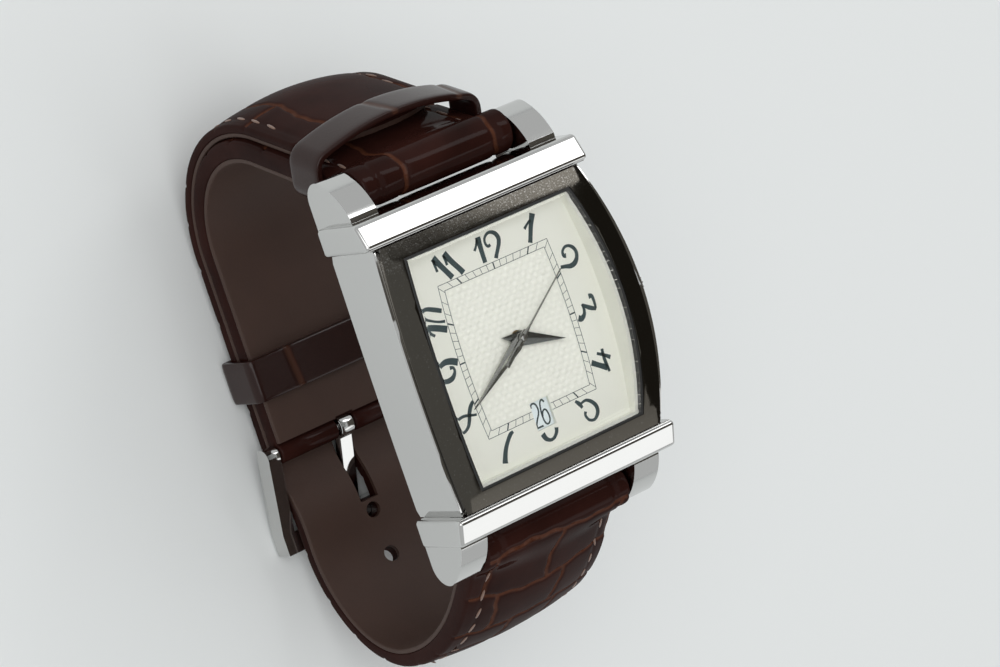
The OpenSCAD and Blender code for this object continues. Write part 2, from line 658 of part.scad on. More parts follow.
module intermediate_wheel() color(brass) lifted() translate([inter_axis[0], inter_axis[1], 0]) {
    arbor(plate_low + 0.3);
    translate([0, 0, third_z - 0.2]) toothed(8, second_m, 0.27, mesh(inter_dir, 48, 8, inter_dir));
    translate([0, 0, third_z + 0.06]) difference() {
        toothed(30, rotor_m, 0.12, rotor_dir);
        spokes(30, rotor_m, 0.5, 0.12);
    }
}
module rotor() color([0.3, 0.3, 0.32]) lifted() translate([rotor_axis[0], rotor_axis[1], 0]) {
    arbor(plate_low + 0.3);
    translate([0, 0, third_z]) toothed(6, rotor_m, 0.24, mesh(rotor_dir, 30, 6, rotor_dir));
    translate([0, 0, third_z + 0.24]) cylinder(r = rotor_r, h = 0.35);
}

coil_dir = 47;
coil_d = 8.4;
coil_at = coil_d * [cos(coil_dir), sin(coil_dir)];
coil_half = 3.6;
// A point beside the coil: so far outwards, and so far along it, from its middle
function coil_point(out, along) = (coil_d + out) * [cos(coil_dir), sin(coil_dir)] + along * left(coil_dir);
coil_r = 0.65;
coil_z = plate_low - 0.05 - coil_r;
module on_coil() translate([coil_at[0], coil_at[1], coil_z]) rotate([0, 0, coil_dir + 90]) children();
module stator() color([0.6, 0.6, 0.58]) lifted() difference() {
    union() {
        on_coil() translate([-coil_half - 1, -0.45, coil_r - 0.45]) cube([2 * coil_half + 2, 0.9, 0.45]);
        translate([0, 0, plate_low - 0.5]) linear_extrude(0.45) polygon([
            coil_point(1, coil_half + 0.9), coil_point(-0.9, coil_half + 0.9),
            rotor_axis + [-1.6, 0.5], rotor_axis + [-0.6, -1.5], rotor_axis + [1.6, -0.6],
            coil_point(-0.9, -coil_half - 0.9), coil_point(1, -coil_half - 0.9),
            coil_point(-1, -coil_half), coil_point(-1, coil_half)]);
    }
    stud(rotor_axis, rotor_r + 0.25, plate_low - 2, plate_low + 1);
    on_coil() rotate([0, 90, 0]) cylinder(r = coil_r + 0.05, h = 2 * coil_half + 0.1, center = true);
}
module coil() color([0.72, 0.36, 0.16]) lifted() on_coil() {
    rotate([0, 90, 0]) cylinder(r = coil_r, h = 2 * coil_half, center = true);
}
bridge_points = [[-3.4, -7.1], [1.6, -7.5], [4.9, -4.6], [5.1, 2.2], [3.9, 4.2], [1.2, 4.4],
    [-0.8, 1.8], [-3.4, -0.4]];
bridge_screw_at = [[-2.4, -6.5], [4.2, -4.2]];
module train_bridge() color(steel) lifted() difference() {
    union() {
        translate([0, 0, move_low + 0.15])
            linear_extrude(bridge_top - move_low - 0.15) polygon(bridge_points);
        for (p = bridge_screw_at) stud(p, 0.55, bridge_top - eps, plate_low);
    }
    for (p = bridge_screw_at) stud(p, 0.25, move_low - 1, plate_low + 1);
    for (p = [[0, 0], third_axis, inter_axis, rotor_axis])
        stud(p, pivot_pin_r + fit, move_low - 1, bridge_top + 1);
}
module bridge_screws() color(steel) lifted() for (p = bridge_screw_at) {
    stud(p, 0.25, move_low + 0.15, plate_low - 0.02);
    stud(p, 0.5, move_low, move_low + 0.15);
}
module battery() color(steel) lifted() translate([cell_at[0], cell_at[1], move_low + 0.1]) {
    cylinder(r = cell_r, h = cell_h - 0.2);
    cylinder(r = cell_r - 0.6, h = cell_h);
}
clamp_l = 6.6;
clamp_w = 1.8;
module battery_clamp() color(brass) lifted() intersection() {
    translate([0, 0, move_low]) rotate(cell_dir) translate([cell_d - clamp_l / 2, -clamp_w / 2, 0])
        cube([clamp_l, clamp_w, 0.1]);
    translate([0, 0, move_low - 1]) cylinder(r = move_r - 0.1, h = 2);
}
board_l = 3.95;
board_t = 0.3;
module circuit_board() color([0.1, 0.35, 0.2]) lifted() intersection() {
    translate([0, 0, move_low + 0.2]) cylinder(r = move_r - 0.15, h = board_t);
    translate([-move_r, -move_r, move_low]) cube([2 * move_r, board_l, 1]);
}
can_r = 0.42;
can_half = 2.6;
module quartz_can() color(steel) lifted()
    translate([0, board_l / 2 + 0.35 - move_r, move_low + 0.22 + board_t + can_r])
        along_x(can_r, -can_half, can_half);

// The crown and what it turns
module crown_tube() color(steel) lifted() translate([0, 0, stem_z]) difference() {
    along_x(tube_r, cavity_w + 0.1, case_half + tube_out);
    along_x(tube_in_r, cavity_w - 1, case_half + tube_out + 1);
}
module crown() color(steel) lifted() translate([crown_x, 0, stem_z]) rotate([0, 90, 0]) difference() {
    union() {
        linear_extrude(crown_l - 0.35) polygon([for (i = [0:flutes - 1])
            for (p = [[0.94, -0.42], [1, -0.2], [1, 0.2], [0.94, 0.42]]) let (a = 360 / flutes * (i + p[1]))
                crown_r * p[0] * [cos(a), sin(a)]]);
        translate([0, 0, crown_l - 0.35 - eps])
            cylinder(r1 = crown_r * 0.93, r2 = crown_r * 0.72, h = 0.35 + eps);
    }
    translate([0, 0, -1]) cylinder(r = tube_r + 0.06, h = 1 + crown_l - 0.4);
    translate([0, 0, 0.1]) cylinder(r = crown_bore_r, h = 0.45);
    translate([0, 0, -1]) cylinder(r = stem_r, h = 1 + crown_l - 0.15);
}
module crown_gasket() color(rubber) lifted()
    translate([crown_x + 0.1, 0, stem_z]) rotate([0, 90, 0]) difference() {
    cylinder(r = crown_bore_r, h = 0.45);
    translate([0, 0, -1]) cylinder(r = tube_r + 0.02, h = 3);
}
module stem() color(steel) lifted() translate([0, 0, stem_z]) {
    along_x(stem_r, square_to, crown_x + crown_l - 0.15);
    translate([square_from, -square_w / 2, -square_w / 2])
        cube([square_to - square_from + eps, square_w, square_w]);
    along_x(square_w / 2 - 0.05, stem_in, square_from + 0.1);
}
module clutch_pinion() color(steel) lifted() translate([clutch_x, 0, stem_z]) difference() {
    rotate([0, 90, 0]) union() {
        translate([0, 0, 0.3]) cylinder(r = clutch_r * 0.7, h = clutch_l - 0.6);
        for (z = [0, clutch_l - 0.4]) translate([0, 0, z]) toothed(12, clutch_r / 7, 0.4);
    }
    translate([-1, -square_w / 2 - fit, -square_w / 2 - fit])
        cube([clutch_l + 2, square_w + 2 * fit, square_w + 2 * fit]);
}

module case_back() color(steel) lifted() difference() {
    round_block(back_half_w - fit, back_half_l - fit, back_r - fit, belly_z - 3.5, back_z);
    arch_drum(belly_r, belly_z - belly_r);
    corners() translate([back_screw[0], back_screw[1], belly_z - 5]) {
        cylinder(r = screw_r + 0.05, h = 9);
        cylinder(r = screw_head_r + 0.05, h = back_z - 1.2 - belly_z + 5);
    }
}
module case_back_gasket() color(rubber) lifted() difference() {
    round_block(cavity_w + groove_at + groove_w, cavity_l + groove_at + groove_w,
        cavity_r + groove_at + groove_w, back_z, back_z + groove_h);
    round_block(cavity_w + groove_at, cavity_l + groove_at, cavity_r + groove_at, back_z - 1, back_z + 1);
}
module case_back_screws() color(steel) lifted() corners()
    translate([back_screw[0], back_screw[1], 0]) difference() {
    union() {
        translate([0, 0, back_z - 1.25]) cylinder(r = screw_r, h = 2.4);
        translate([0, 0, back_z - 1.7]) cylinder(r = screw_head_r, h = 0.5);
    }
    translate([-1, -0.12, back_z - 2]) cube([2, 0.24, 0.5]);
}

module spring_bar() color(steel) lifted() translate([0, pivot_y, pivot_z]) union() {
    along_x(spring_bar_r, -lug_in + 0.3, lug_in - 0.3);
    along_x(lug_bore_r - 0.02, -lug_in - 1.4, lug_in + 1.4);
}
module spring_bar_12() spring_bar();
module spring_bar_6() mirror([0, 1, 0]) spring_bar();

// The strap: leather outside, padding, lining inside, round the spring bars and the buckle's bar
strap_steps = 34;
tail_steps = 74;
across_steps = 6;
// A closed band along a route: a ring of points at each step, over the outside and back under it. Its faces
// are split the same way over and under, so that two layers meet without gaps.
module swept(route, p, h, length, n, thin, outer, inner) {
    ring = 2 * (across_steps + 1);
    last = n * ring;
    points = [for (i = [0:n]) let (s = length * i / n, q = spot(route, s, p, h))
        for (k = [0:ring - 1]) let (
            over = k <= across_steps,
            x = half_at(s, thin) * (2 * (over ? k : ring - 1 - k) / across_steps - 1),
            at = q[0] + (over ? outer(s, x) : inner(s, x)) * left(q[1])) [x, at[0], at[1]]];
    walls = [for (i = [0:n - 1]) for (k = [0:ring - 1]) let (
        a = i * ring + k, b = i * ring + (k + 1) % ring) each k <= across_steps
            ? [[a, a + ring, b + ring], [a, b + ring, b]]
            : [[a, a + ring, b], [b, a + ring, b + ring]]];
    caps = [for (j = [0:across_steps - 1]) let (j_in = ring - 1 - j) each [
        [j, j + 1, j_in - 1], [j, j_in - 1, j_in],
        [last + j_in - 1, last + j + 1, last + j], [last + j_in, last + j_in - 1, last + j]]];
    polyhedron(points, concat(walls, caps));
}
module short_layer(outer, inner)
    swept(route_12, start_12, -leave_12, short_l, strap_steps, thin_12, outer, inner);
module long_layer(outer, inner) mirror([0, 1, 0]) difference() {
    swept(route_6, start_6, -leave_6, long_l, tail_steps, thin_6, outer, inner);
    strap_holes();
    tail_point();
    tang_path();
}
// Round holes, square to the strap, on both sides of the one that the tang is in
module strap_holes() for (k = [-2, -1, 1, 2, 3, 4]) {
    q = spot(route_6, tang_hole_s + k * hole_step, start_6, -leave_6);
    translate([0, q[0][0], q[0][1]]) rotate([q[1], 0, 0])
        cylinder(r = hole_r, h = 3 * tail_t, center = true, $fn = 24);
}
tail_round = 13;
module tail_point() {
    q = spot(route_6, long_l, start_6, -leave_6);
    translate([0, q[0][0], q[0][1]]) rotate([q[1], 0, 0]) difference() {
        translate([-strap_w, -tail_round, -4]) cube([2 * strap_w, tail_round + 1, 8]);
        translate([0, -tail_round, -5]) cylinder(r = tail_round, h = 10, $fn = fine);
        translate([-strap_w, -2 * tail_round, -5]) cube([2 * strap_w, tail_round, 10]);
    }
}
// The room that the tang sweeps through the long piece
module tang_path() for (a = [0, tang_open / 2, tang_open])
    translate([-tang_w / 2 - tang_slot, buckle_y, pin_at[1]]) rotate([-tang_fall - a, 0, 0])
        translate([0, tang_slot_from, -tang_t / 2 - tang_slot])
            cube([tang_w + 2 * tang_slot, tang_slot_l, tang_t + 2 * tang_slot]);

// The turned end of a strap piece, round a bar
module turned_end(w, at, r, bore) translate([0, at[0], at[1]]) difference() {
    along_x(r, -w / 2, w / 2);
    along_x(bore, -w, w);
}
module end_room(at, r) translate([0, at[0], at[1]]) along_x(r, -lug_gap, lug_gap);
module tang_room() translate([0, pin_at[0], pin_at[1]]) {
    along_x(tang_hub_r + 0.05, -tang_w / 2 - 0.3, tang_w / 2 + 0.3);
    translate([-tang_w / 2 - 0.3, -4, -3]) cube([tang_w + 0.6, 4, 6]);
}
bar_bore = spring_bar_r + 0.05;
pin_bore = buckle_pin_r + 0.05;
module strap_12_leather() color(leather) lifted() difference() {
    union() {
        short_layer(function(s, x) outer_12(s, x), function(s, x) outer_12(s, x) - leather_t);
        turned_end(strap_w, pivot, strap_t / 2, bar_bore);
        turned_end(strap_end_w, pin_at, short_t / 2, pin_bore);
    }
    end_room(pivot, bar_bore);
    end_room(pin_at, pin_bore);
    tang_room();
}
module strap_12_padding() color(lining_brown) lifted() difference() {
    short_layer(function(s, x) outer_12(s, x) - leather_t, function(s, x) lining_t - thick_12(s));
    end_room(pivot, strap_t / 2);
    end_room(pin_at, short_t / 2);
    tang_room();
}
module strap_12_lining() color(lining_brown) lifted() difference() {
    short_layer(function(s, x) lining_t - thick_12(s), function(s, x) -thick_12(s));
    end_room(pivot, strap_t / 2);
    end_room(pin_at, short_t / 2);
    tang_room();
}
module strap_6_leather() color(leather) lifted() difference() {
    union() {
        long_layer(function(s, x) outer_6(s, x), function(s, x) outer_6(s, x) - leather_t);
        mirror([0, 1, 0]) turned_end(strap_w, pivot, strap_t / 2, bar_bore);
    }
    mirror([0, 1, 0]) end_room(pivot, bar_bore);
}
module strap_6_padding() color(lining_brown) lifted() difference() {
    long_layer(function(s, x) outer_6(s, x) - leather_t,
        function(s, x) under_6(s, x) + lining_t - thick_6(s));
    mirror([0, 1, 0]) end_room(pivot, strap_t / 2);
}
module strap_6_lining() color(lining_brown) lifted() difference() {
    long_layer(function(s, x) under_6(s, x) + lining_t - thick_6(s),
        function(s, x) under_6(s, x) - thick_6(s));
    mirror([0, 1, 0]) end_room(pivot, strap_t / 2);
}

// The runs of thread that show on the strap's outside, one straight stitch at a time
module stitch(route, s, p, h, x, outer) {
    q = spot(route, s, p, h);
    lean = atan((outer(s, x - stitch_w) - outer(s, x + stitch_w)) / 2 / stitch_w);
    rise = atan((outer(s + stitch_l / 2, x) - outer(s - stitch_l / 2, x)) / stitch_l);
    translate([x, q[0][0], q[0][1]]) rotate([q[1], 0, 0])
        translate([0, 0, outer(s, x)]) rotate([rise, lean, 0])
        translate([-stitch_w / 2, -stitch_l / 2, stitch_gap]) cube([stitch_w, stitch_l, stitch_t]);
}
stitch_gap = 0.035;
stitch_w = 0.4;
stitch_l = 2;
stitch_t = 0.055;
stitch_step = 3.2;
stitch_x = strap_end_w / 2 - 1.5;
stitch_from = 4.5;
stitch_rest_12 = 6;
stitch_rest_6 = 8;
module strap_12_stitching() color(thread) lifted() sides()
    for (s = [stitch_from:stitch_step:short_l - stitch_rest_12])
        stitch(route_12, s, start_12, -leave_12, stitch_x, function(s, x) outer_12(s, x));
module strap_6_stitching() color(thread) lifted() mirror([0, 1, 0]) sides()
    for (s = [stitch_from:stitch_step:long_l - stitch_rest_6])
        if (s < tail_from - stitch_l / 2 || s > tail_from + 2 * cross_len + stitch_l / 2)
            stitch(route_6, s, start_6, -leave_6, stitch_x, function(s, x) outer_6(s, x));

// A closed band of leather round both layers of strap, sewn to the short piece
fixed_half = strap_end_w / 2 + keeper_play;
fixed_top = loop_z + short_t + keeper_play;
module fixed_keeper() color(leather) lifted() difference() {
    translate([-fixed_half - keeper_t, -keeper_w / 2, base_z])
        cube([2 * (fixed_half + keeper_t), keeper_w, fixed_top + keeper_t - base_z]);
    translate([-fixed_half, -keeper_w, base_z + keeper_t])
        cube([2 * fixed_half, 2 * keeper_w, fixed_top - base_z - keeper_t]);
}
// An arched outline with round corners, whose arch touches them
module arched(half, top, low, arch, r) {
    corner_at = top - arch + sqrt(pow(arch - r, 2) - pow(half - r, 2));
    touch = (half - r) * arch / (arch - r);
    intersection() {
        translate([0, top - arch]) circle(arch, $fn = fine);
        translate([-touch, low + r]) square([2 * touch, top - low]);
    }
    translate([-half, low + r]) square([2 * half, corner_at - low - r]);
    translate([r - half, low]) square([2 * (half - r), r + eps]);
    for (s = [-1, 1], z = [corner_at, low + r]) translate([s * (half - r), z]) circle(r);
}
// A closed band that slides along the strap's straight run at twelve
keeper_half = strap_w / 2 + keeper_gap;
keeper_top = tail_at + keeper_gap;
keeper_low = -strap_t - keeper_gap;
keeper_r = 0.4;
module sliding_keeper() color(leather) lifted() translate([0, start_12[0], start_12[1]])
    rotate([-leave_12, 0, 0]) translate([0, keeper_12 + keeper_w, 0]) rotate([90, 0, 0])
    linear_extrude(keeper_w) difference() {
        arched(keeper_half + keeper_t, keeper_top + keeper_t, keeper_low - keeper_t, keeper_arch + keeper_t,
            keeper_r + keeper_t);
        arched(keeper_half, keeper_top, keeper_low, keeper_arch, keeper_r);
    }

module buckle_frame() color(steel) lifted() difference() {
    union() {
        sides() translate([(frame_in + frame_out) / 2, 0, 0]) across(frame_arm) polygon([
            [front_out, front_low], [front_in, front_low],
            [pin_at[0], pin_at[1] - arm_r], [pin_at[0], pin_at[1] + arm_r],
            [front_in, front_top], [front_out, front_top]]);
        sides() translate([0, pin_at[0], pin_at[1]]) along_x(arm_r, frame_in, frame_out);
        translate([-frame_in - eps, front_out, front_low])
            cube([2 * frame_in + 2 * eps, front_in - front_out, front_top - front_low]);
    }
    translate([0, pin_at[0], pin_at[1]]) along_x(buckle_pin_r - 0.15, -frame_out + 0.3, frame_out - 0.3);
    translate([-tang_w / 2 - 0.15, front_out - 1, front_low - 1])
        cube([tang_w + 0.3, front_in - front_out + 2, base_z + tang_t + 0.05 - front_low + 1]);
}
module buckle_pin() color(steel) lifted() translate([0, pin_at[0], pin_at[1]]) union() {
    along_x(buckle_pin_r, -frame_in + 0.1, frame_in - 0.1);
    along_x(buckle_pin_r - 0.17, -frame_out + 0.35, frame_out - 0.35);
}
module buckle_tang() color(steel) lifted() translate([0, pin_at[0], pin_at[1]]) difference() {
    union() {
        along_x(tang_hub_r, -tang_w / 2, tang_w / 2);
        across(tang_w) polygon([[0, tang_t / 2], [tang_in, tang_mid + tang_t / 2],
            [tang_tip, tang_mid + tang_t / 2], [tang_tip, tang_mid - tang_t / 2],
            [tang_in, tang_mid - tang_t / 2], [0, -tang_t / 2]]);
    }
    along_x(buckle_pin_r + 0.03, -tang_w, tang_w);
}

case_middle();
end_bar_12();
end_bar_6();
bezel();
crystal();
crystal_gasket();
inner_flange();
dial();
hour_hand();
minute_hand();
seconds_hand();
hour_wheel();
cannon_pinion();
minute_wheel();
setting_wheel();
date_wheel();
date_ring();
main_plate();
movement_holder();
centre_wheel();
third_wheel();
seconds_wheel();
intermediate_wheel();
rotor();
stator();
coil();
train_bridge();
bridge_screws();
battery();
battery_clamp();
circuit_board();
quartz_can();
crown_tube();
crown();
crown_gasket();
stem();
clutch_pinion();
case_back();
case_back_gasket();
case_back_screws();
spring_bar_12();
spring_bar_6();
strap_12_leather();
strap_12_padding();
strap_12_lining();
strap_12_stitching();
strap_6_leather();
strap_6_padding();
strap_6_lining();
strap_6_stitching();
fixed_keeper();
sliding_keeper();
buckle_frame();
buckle_pin();
buckle_tang();
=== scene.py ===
"""A rectangular wristwatch with bowed sides and a crocodile strap, dressed for a product picture."""
import json
from math import atan, atan2, copysign, cos, exp, pi, radians, sin, sqrt, tau

import bmesh
import bpy
from bpy.props import FloatProperty, FloatVectorProperty, PointerProperty
from mathutils import Matrix, Vector


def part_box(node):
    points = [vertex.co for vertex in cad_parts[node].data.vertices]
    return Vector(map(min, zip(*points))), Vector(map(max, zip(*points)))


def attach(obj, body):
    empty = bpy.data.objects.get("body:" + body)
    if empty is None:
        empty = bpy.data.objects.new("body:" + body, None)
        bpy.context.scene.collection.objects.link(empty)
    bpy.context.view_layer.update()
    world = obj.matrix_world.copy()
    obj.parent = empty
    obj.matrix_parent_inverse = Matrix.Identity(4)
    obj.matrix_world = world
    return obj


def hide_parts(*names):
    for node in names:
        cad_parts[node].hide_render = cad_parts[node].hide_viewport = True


bl_info = {
    "name": "Rectangular wristwatch",
    "version": (1, 0, 0),
    "blender": (4, 5, 0),
    "location": "3D View > Sidebar > Watch",
    "description": "Dresses a rectangular wristwatch: case, dial, hands, strap and studio",
    "category": "Object",
}

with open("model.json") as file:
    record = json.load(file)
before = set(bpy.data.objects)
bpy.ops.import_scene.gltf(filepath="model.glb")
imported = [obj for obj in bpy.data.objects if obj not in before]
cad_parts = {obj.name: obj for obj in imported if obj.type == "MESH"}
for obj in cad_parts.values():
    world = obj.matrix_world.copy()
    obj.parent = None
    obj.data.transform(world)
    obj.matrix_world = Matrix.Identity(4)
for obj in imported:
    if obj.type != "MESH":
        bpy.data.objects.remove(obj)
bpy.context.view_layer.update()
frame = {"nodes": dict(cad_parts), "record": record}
MM = 0.001

# Places that everything else is worked out from
FLOOR_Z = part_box("fixed_keeper")[0].z
DIAL_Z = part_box("dial")[1].z
RIDGE_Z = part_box("end_bar_12")[1].z


def at_ridges(x, y, z):
    """A point given in millimetres from the ridges of the end bars."""
    return Vector((x, y, z)) * MM + Vector((0, 0, RIDGE_Z))


def colour(name, default):
    """A colour that a user can change."""
    return FloatVectorProperty(name=name, description="Colour of the " + name.lower(), default=default,
                               subtype="COLOR", size=3, min=0, max=1)


class WatchMetal(bpy.types.PropertyGroup):
    """Finish of the metal parts."""
    edge: FloatProperty(name="Edge", description="Width of the rounded edges of polished parts", default=0.09 * MM,
                        unit="LENGTH", subtype="DISTANCE", precision=5)
    steel: colour("Polished steel", (0.60, 0.60, 0.59))
    dark: colour("Bezel band", (0.080, 0.074, 0.063))
    brass: colour("Brass wheels", (0.72, 0.55, 0.26))


class WatchDial(bpy.types.PropertyGroup):
    """Dial, track and hands."""
    cream: colour("Cream dial", (0.95, 0.95, 0.86))
    ink: colour("Numerals and track", (0.035, 0.06, 0.065))
    hand: colour("Hour hand", (0.20, 0.21, 0.205))
    bright_hand: colour("Minute and seconds hands", (0.36, 0.36, 0.34))


class WatchStrap(bpy.types.PropertyGroup):
    """Crocodile leather."""
    leather: colour("Scales", (0.0155, 0.0050, 0.0038))
    crease: colour("Creases between scales", (0.055, 0.019, 0.010))
    thread: colour("Stitching", (0.22, 0.125, 0.088))
    lining: colour("Lining", (0.06, 0.027, 0.017))


class WatchStage(bpy.types.PropertyGroup):
    """Floor and light."""
    floor: colour("Floor", (0.86, 0.88, 0.87))
    key: FloatProperty(name="Key", description="Power of the main softbox, in watts", default=1.22, min=0)


class Socket:
    """A socket or a number that Python's operators join into Math nodes."""

    def __init__(self, nodes, value):
        self.nodes, self.value = nodes, value

    def maths(self, operation, *others, clamp=False):
        return self.nodes.node("Math", {"operation": operation, "use_clamp": clamp}, inputs=(self, *others))

    def __add__(self, other):
        return self.maths("ADD", other)

    def __mul__(self, other):
        return self.maths("MULTIPLY", other)

    def __sub__(self, other):
        return self.maths("SUBTRACT", other)

    def __rsub__(self, other):
        return Socket(self.nodes, other) - self

    __radd__ = __add__
    __rmul__ = __mul__

    def above(self, level, soft):
        """0 under the level, 1 over it, with a soft step between."""
        return ((self - (level - soft / 2)) * (1 / soft)).maths("ADD", 0.0, clamp=True)


class Nodes:
    """A node tree, and the few ways its nodes are made."""

    def __init__(self, tree):
        self.tree = tree

    def plug(self, socket, value):
        """Links a socket, or sets its value."""
        value = value.value if isinstance(value, Socket) else value
        if isinstance(value, bpy.types.NodeSocket):
            self.tree.links.new(value, socket)
        else:
            socket.default_value = (*value[:3], 1) if socket.type == "RGBA" else value

    def node(self, kind, settings=None, output=0, inputs=(), **sockets):
        """Any node: its type, its settings, and its sockets' values or links, in order or by name."""
        made = self.tree.nodes.new("ShaderNode" + kind)
        for name, value in (settings or {}).items():
            setattr(made, name, value)
        for socket, value in zip(made.inputs, inputs):
            self.plug(socket, value)
        for name, value in sockets.items():
            wanted = name.replace("_", " ").title()
            self.plug(next(s for s in made.inputs if s.name == wanted and s.enabled), value)
        return Socket(self, made.outputs[output])

    def parts(self, vector):
        """The three numbers of a vector."""
        made = self.node("SeparateXYZ", vector=vector).value.node
        return [Socket(self, socket) for socket in made.outputs]

    def place(self):
        """The point being shaded, in metres, in the object's own coordinates."""
        return self.node("TexCoord", output="Object")

    def noise(self, scale, detail, rough=0.5, stretch=None, vector=None):
        """Noise on the object's own coordinates or another vector, stretched if need be."""
        vector = vector or self.place()
        if stretch:
            vector = self.node("Mapping", vector=vector, scale=stretch)
        return self.node("TexNoise", vector=vector, scale=scale, detail=detail, roughness=rough)

    def mix(self, factor, a, b):
        """A colour between a and b."""
        return self.node("Mix", {"data_type": "RGBA"}, 2, factor=factor, a=a, b=b)


class Finish(Nodes):
    """A material with one main shader."""

    def __init__(self, name, **sockets):
        self.material = bpy.data.materials.new("watch_" + name)
        self.material.use_nodes = True
        super().__init__(self.material.node_tree)
        self.shader = self.tree.nodes["Principled BSDF"]
        self.set(**sockets)

    def set(self, **sockets):
        """Sets or links the shader's sockets by name."""
        for name, value in sockets.items():
            self.plug(self.shader.inputs[name.replace("_", " ").title().replace("Ior", "IOR")], value)

    def crease(self):
        """How much of a crease the point being shaded is, from 0 to 1."""
        return self.node("Attribute", {"attribute_name": "crease"}, "Fac")

    def bump(self, height, strength, distance):
        self.set(normal=self.node("Bump", height=height, strength=strength, distance=distance))


def tinted(tone, share):
    """A lighter or darker tone of a colour."""
    return tuple(min(1.0, v * share) for v in tone)


def polished_steel(scene):
    look = Finish("polished_steel", metallic=1.0, base_color=scene.watch_metal.steel)
    smudge = look.noise(180.0, 3.0)
    hairlines = look.noise(1.0, 3.0, stretch=(400.0, 6000.0, 6000.0))
    look.set(roughness=smudge * 0.05 + hairlines * 0.04 + 0.02)
    return look


def dark_steel(scene):
    """Polished dark steel, with specks of the lighter steel colour, more of them at the twelve end."""
    look = Finish("dark_steel", metallic=1.0)
    metal = scene.watch_metal
    at_twelve = look.parts(look.place())[1].above(12.8 * MM, 0.6 * MM)
    # specks of the lighter steel colour over the dark band, more of them at the twelve end, which makes that end
    # lighter
    steel_specks = (look.noise(5200.0, 4.0, 0.7) + at_twelve * 0.08).above(0.66, 0.08)
    look.set(base_color=look.mix(steel_specks * 0.22, metal.dark, metal.steel), roughness=look.noise(300.0, 3.0) * 0.08 + 0.05)
    return look


def satin_steel(scene):
    look = Finish("satin_steel", metallic=1.0, base_color=(0.56, 0.56, 0.55))
    grain = look.noise(1.0, 4.0, stretch=(300.0, 9000.0, 9000.0))
    look.set(roughness=grain * 0.12 + 0.24)
    look.bump(grain, 0.15, 0.00002)
    return look


def crystal(scene):
    """Clear glass that throws almost no shadow."""
    look = Finish("crystal", base_color=(1.0, 1.0, 1.0), transmission_weight=1.0, roughness=0.0, ior=1.5)
    clear = look.node("BsdfTransparent", color=(0.97, 0.98, 0.98))
    shadow = look.node("LightPath", output="Is Shadow Ray")
    both = look.node("MixShader", inputs=(shadow, look.shader.outputs[0], clear))
    look.plug(look.tree.nodes["Material Output"].inputs[0], both)
    return look


# The weave's pitch in millimetres, across a float and from row to row
WEAVE_X = 1.0
WEAVE_Y = 0.67


def cream_paint(scene):
    """Cream paint, with a woven pattern pressed into the field inside the minute track. Its colour follows the weave,
    with painted shade in the hollows and painted highlight on the rises, and the field is lighter than the dial
    outside it.
    """
    look = Finish("cream_paint", specular_ior_level=0.4)
    cream = scene.watch_dial.cream
    x, y, _ = look.parts(look.place())
    inset = TRACK_RING + 0.2
    side = y * y * (-1 / 2 / TRACK_BOW / MM) + (TRACK_W - inset) * MM
    within = (side - x.maths("ABSOLUTE")).above(0, 0.1 * MM)
    within = within * (y.maths("ABSOLUTE") * -1 + (TRACK_L - inset) * MM).above(0, 0.1 * MM)
    row = (y * (pi / WEAVE_Y / MM)).maths("SINE")
    turn = x * (tau / WEAVE_X / MM) + row.maths("SIGN") * (pi / 2)
    relief = row.maths("ABSOLUTE") * (turn.maths("SINE") * 0.5 + 0.5) * within
    grain = look.noise(5000.0, 3.0)
    # painted shade and highlight: the weave's hollows darker and its rises lighter, the field lighter than the dial
    # outside the track, with random grain
    shade = relief * 0.55 + within * 0.3 + grain * 0.15
    look.set(base_color=look.mix(shade, tinted(cream, 0.89), cream), roughness=grain * 0.1 + 0.36)
    look.bump(relief, 0.8, 0.00009)
    return look


def leather(scene):
    """Black-brown hide: glossy scales with wrinkles along the strap, and dusty creases."""
    look = Finish("leather", coat_weight=0.15, coat_roughness=0.1, specular_ior_level=0.0)
    strap = scene.watch_strap
    inside = look.crease().above(0.35, 0.5)
    scales = look.mix(look.noise(140.0, 3.0).above(0.5, 0.5), strap.leather, tinted(strap.leather, 2.2))
    dusty = look.mix(look.noise(900.0, 4.0), strap.crease, tinted(strap.crease, 2.2))
    wrinkles = look.noise(1.4, 5.0, 0.62, (0.9, 3.2, 1.0), look.node("UVMap", {"uv_map": "along"}))
    look.set(base_color=look.mix(inside * 0.85, scales, dusty), roughness=wrinkles * 0.22 + inside * 0.3 + 0.14)
    look.bump(wrinkles * 0.75 + look.noise(5200.0, 3.0, 0.6) * 0.25, 0.6, 0.00009)
    return look


def keeper_leather(scene):
    """The keepers' smoother, glossier leather."""
    look = Finish("keeper_leather", coat_weight=0.42, coat_roughness=0.1, specular_ior_level=0.1)
    strap = scene.watch_strap
    inside = look.crease().above(0.4, 0.5)
    grain = look.noise(3600.0, 4.0, 0.6)
    tone = look.mix(grain, strap.leather, tinted(strap.leather, 1.8))
    look.set(base_color=look.mix(inside * 0.9, tone, strap.crease), roughness=grain * 0.14 + inside * 0.25 + 0.24)
    look.bump(grain, 0.3, 0.00005)
    return look


def lining(scene):
    look = Finish("lining")
    tone = scene.watch_strap.lining
    pores = look.noise(3800.0, 4.0, 0.65)
    look.set(base_color=look.mix(look.noise(160.0, 3.0), tinted(tone, 0.72), tone), roughness=pores * 0.15 + 0.55)
    look.bump(pores, 0.25, 0.00005)
    return look


def thread(scene):
    look = Finish("thread", sheen_weight=0.3)
    tone = scene.watch_strap.thread
    fibre = look.noise(9000.0, 3.0)
    look.set(base_color=look.mix(fibre, tinted(tone, 0.6), tinted(tone, 1.3)), roughness=fibre * 0.2 + 0.55)
    look.bump(fibre, 0.5, 0.00004)
    return look


MAKERS = {maker.__name__: maker for maker in (
    polished_steel, dark_steel, satin_steel, crystal, cream_paint, leather, keeper_leather, lining, thread)}

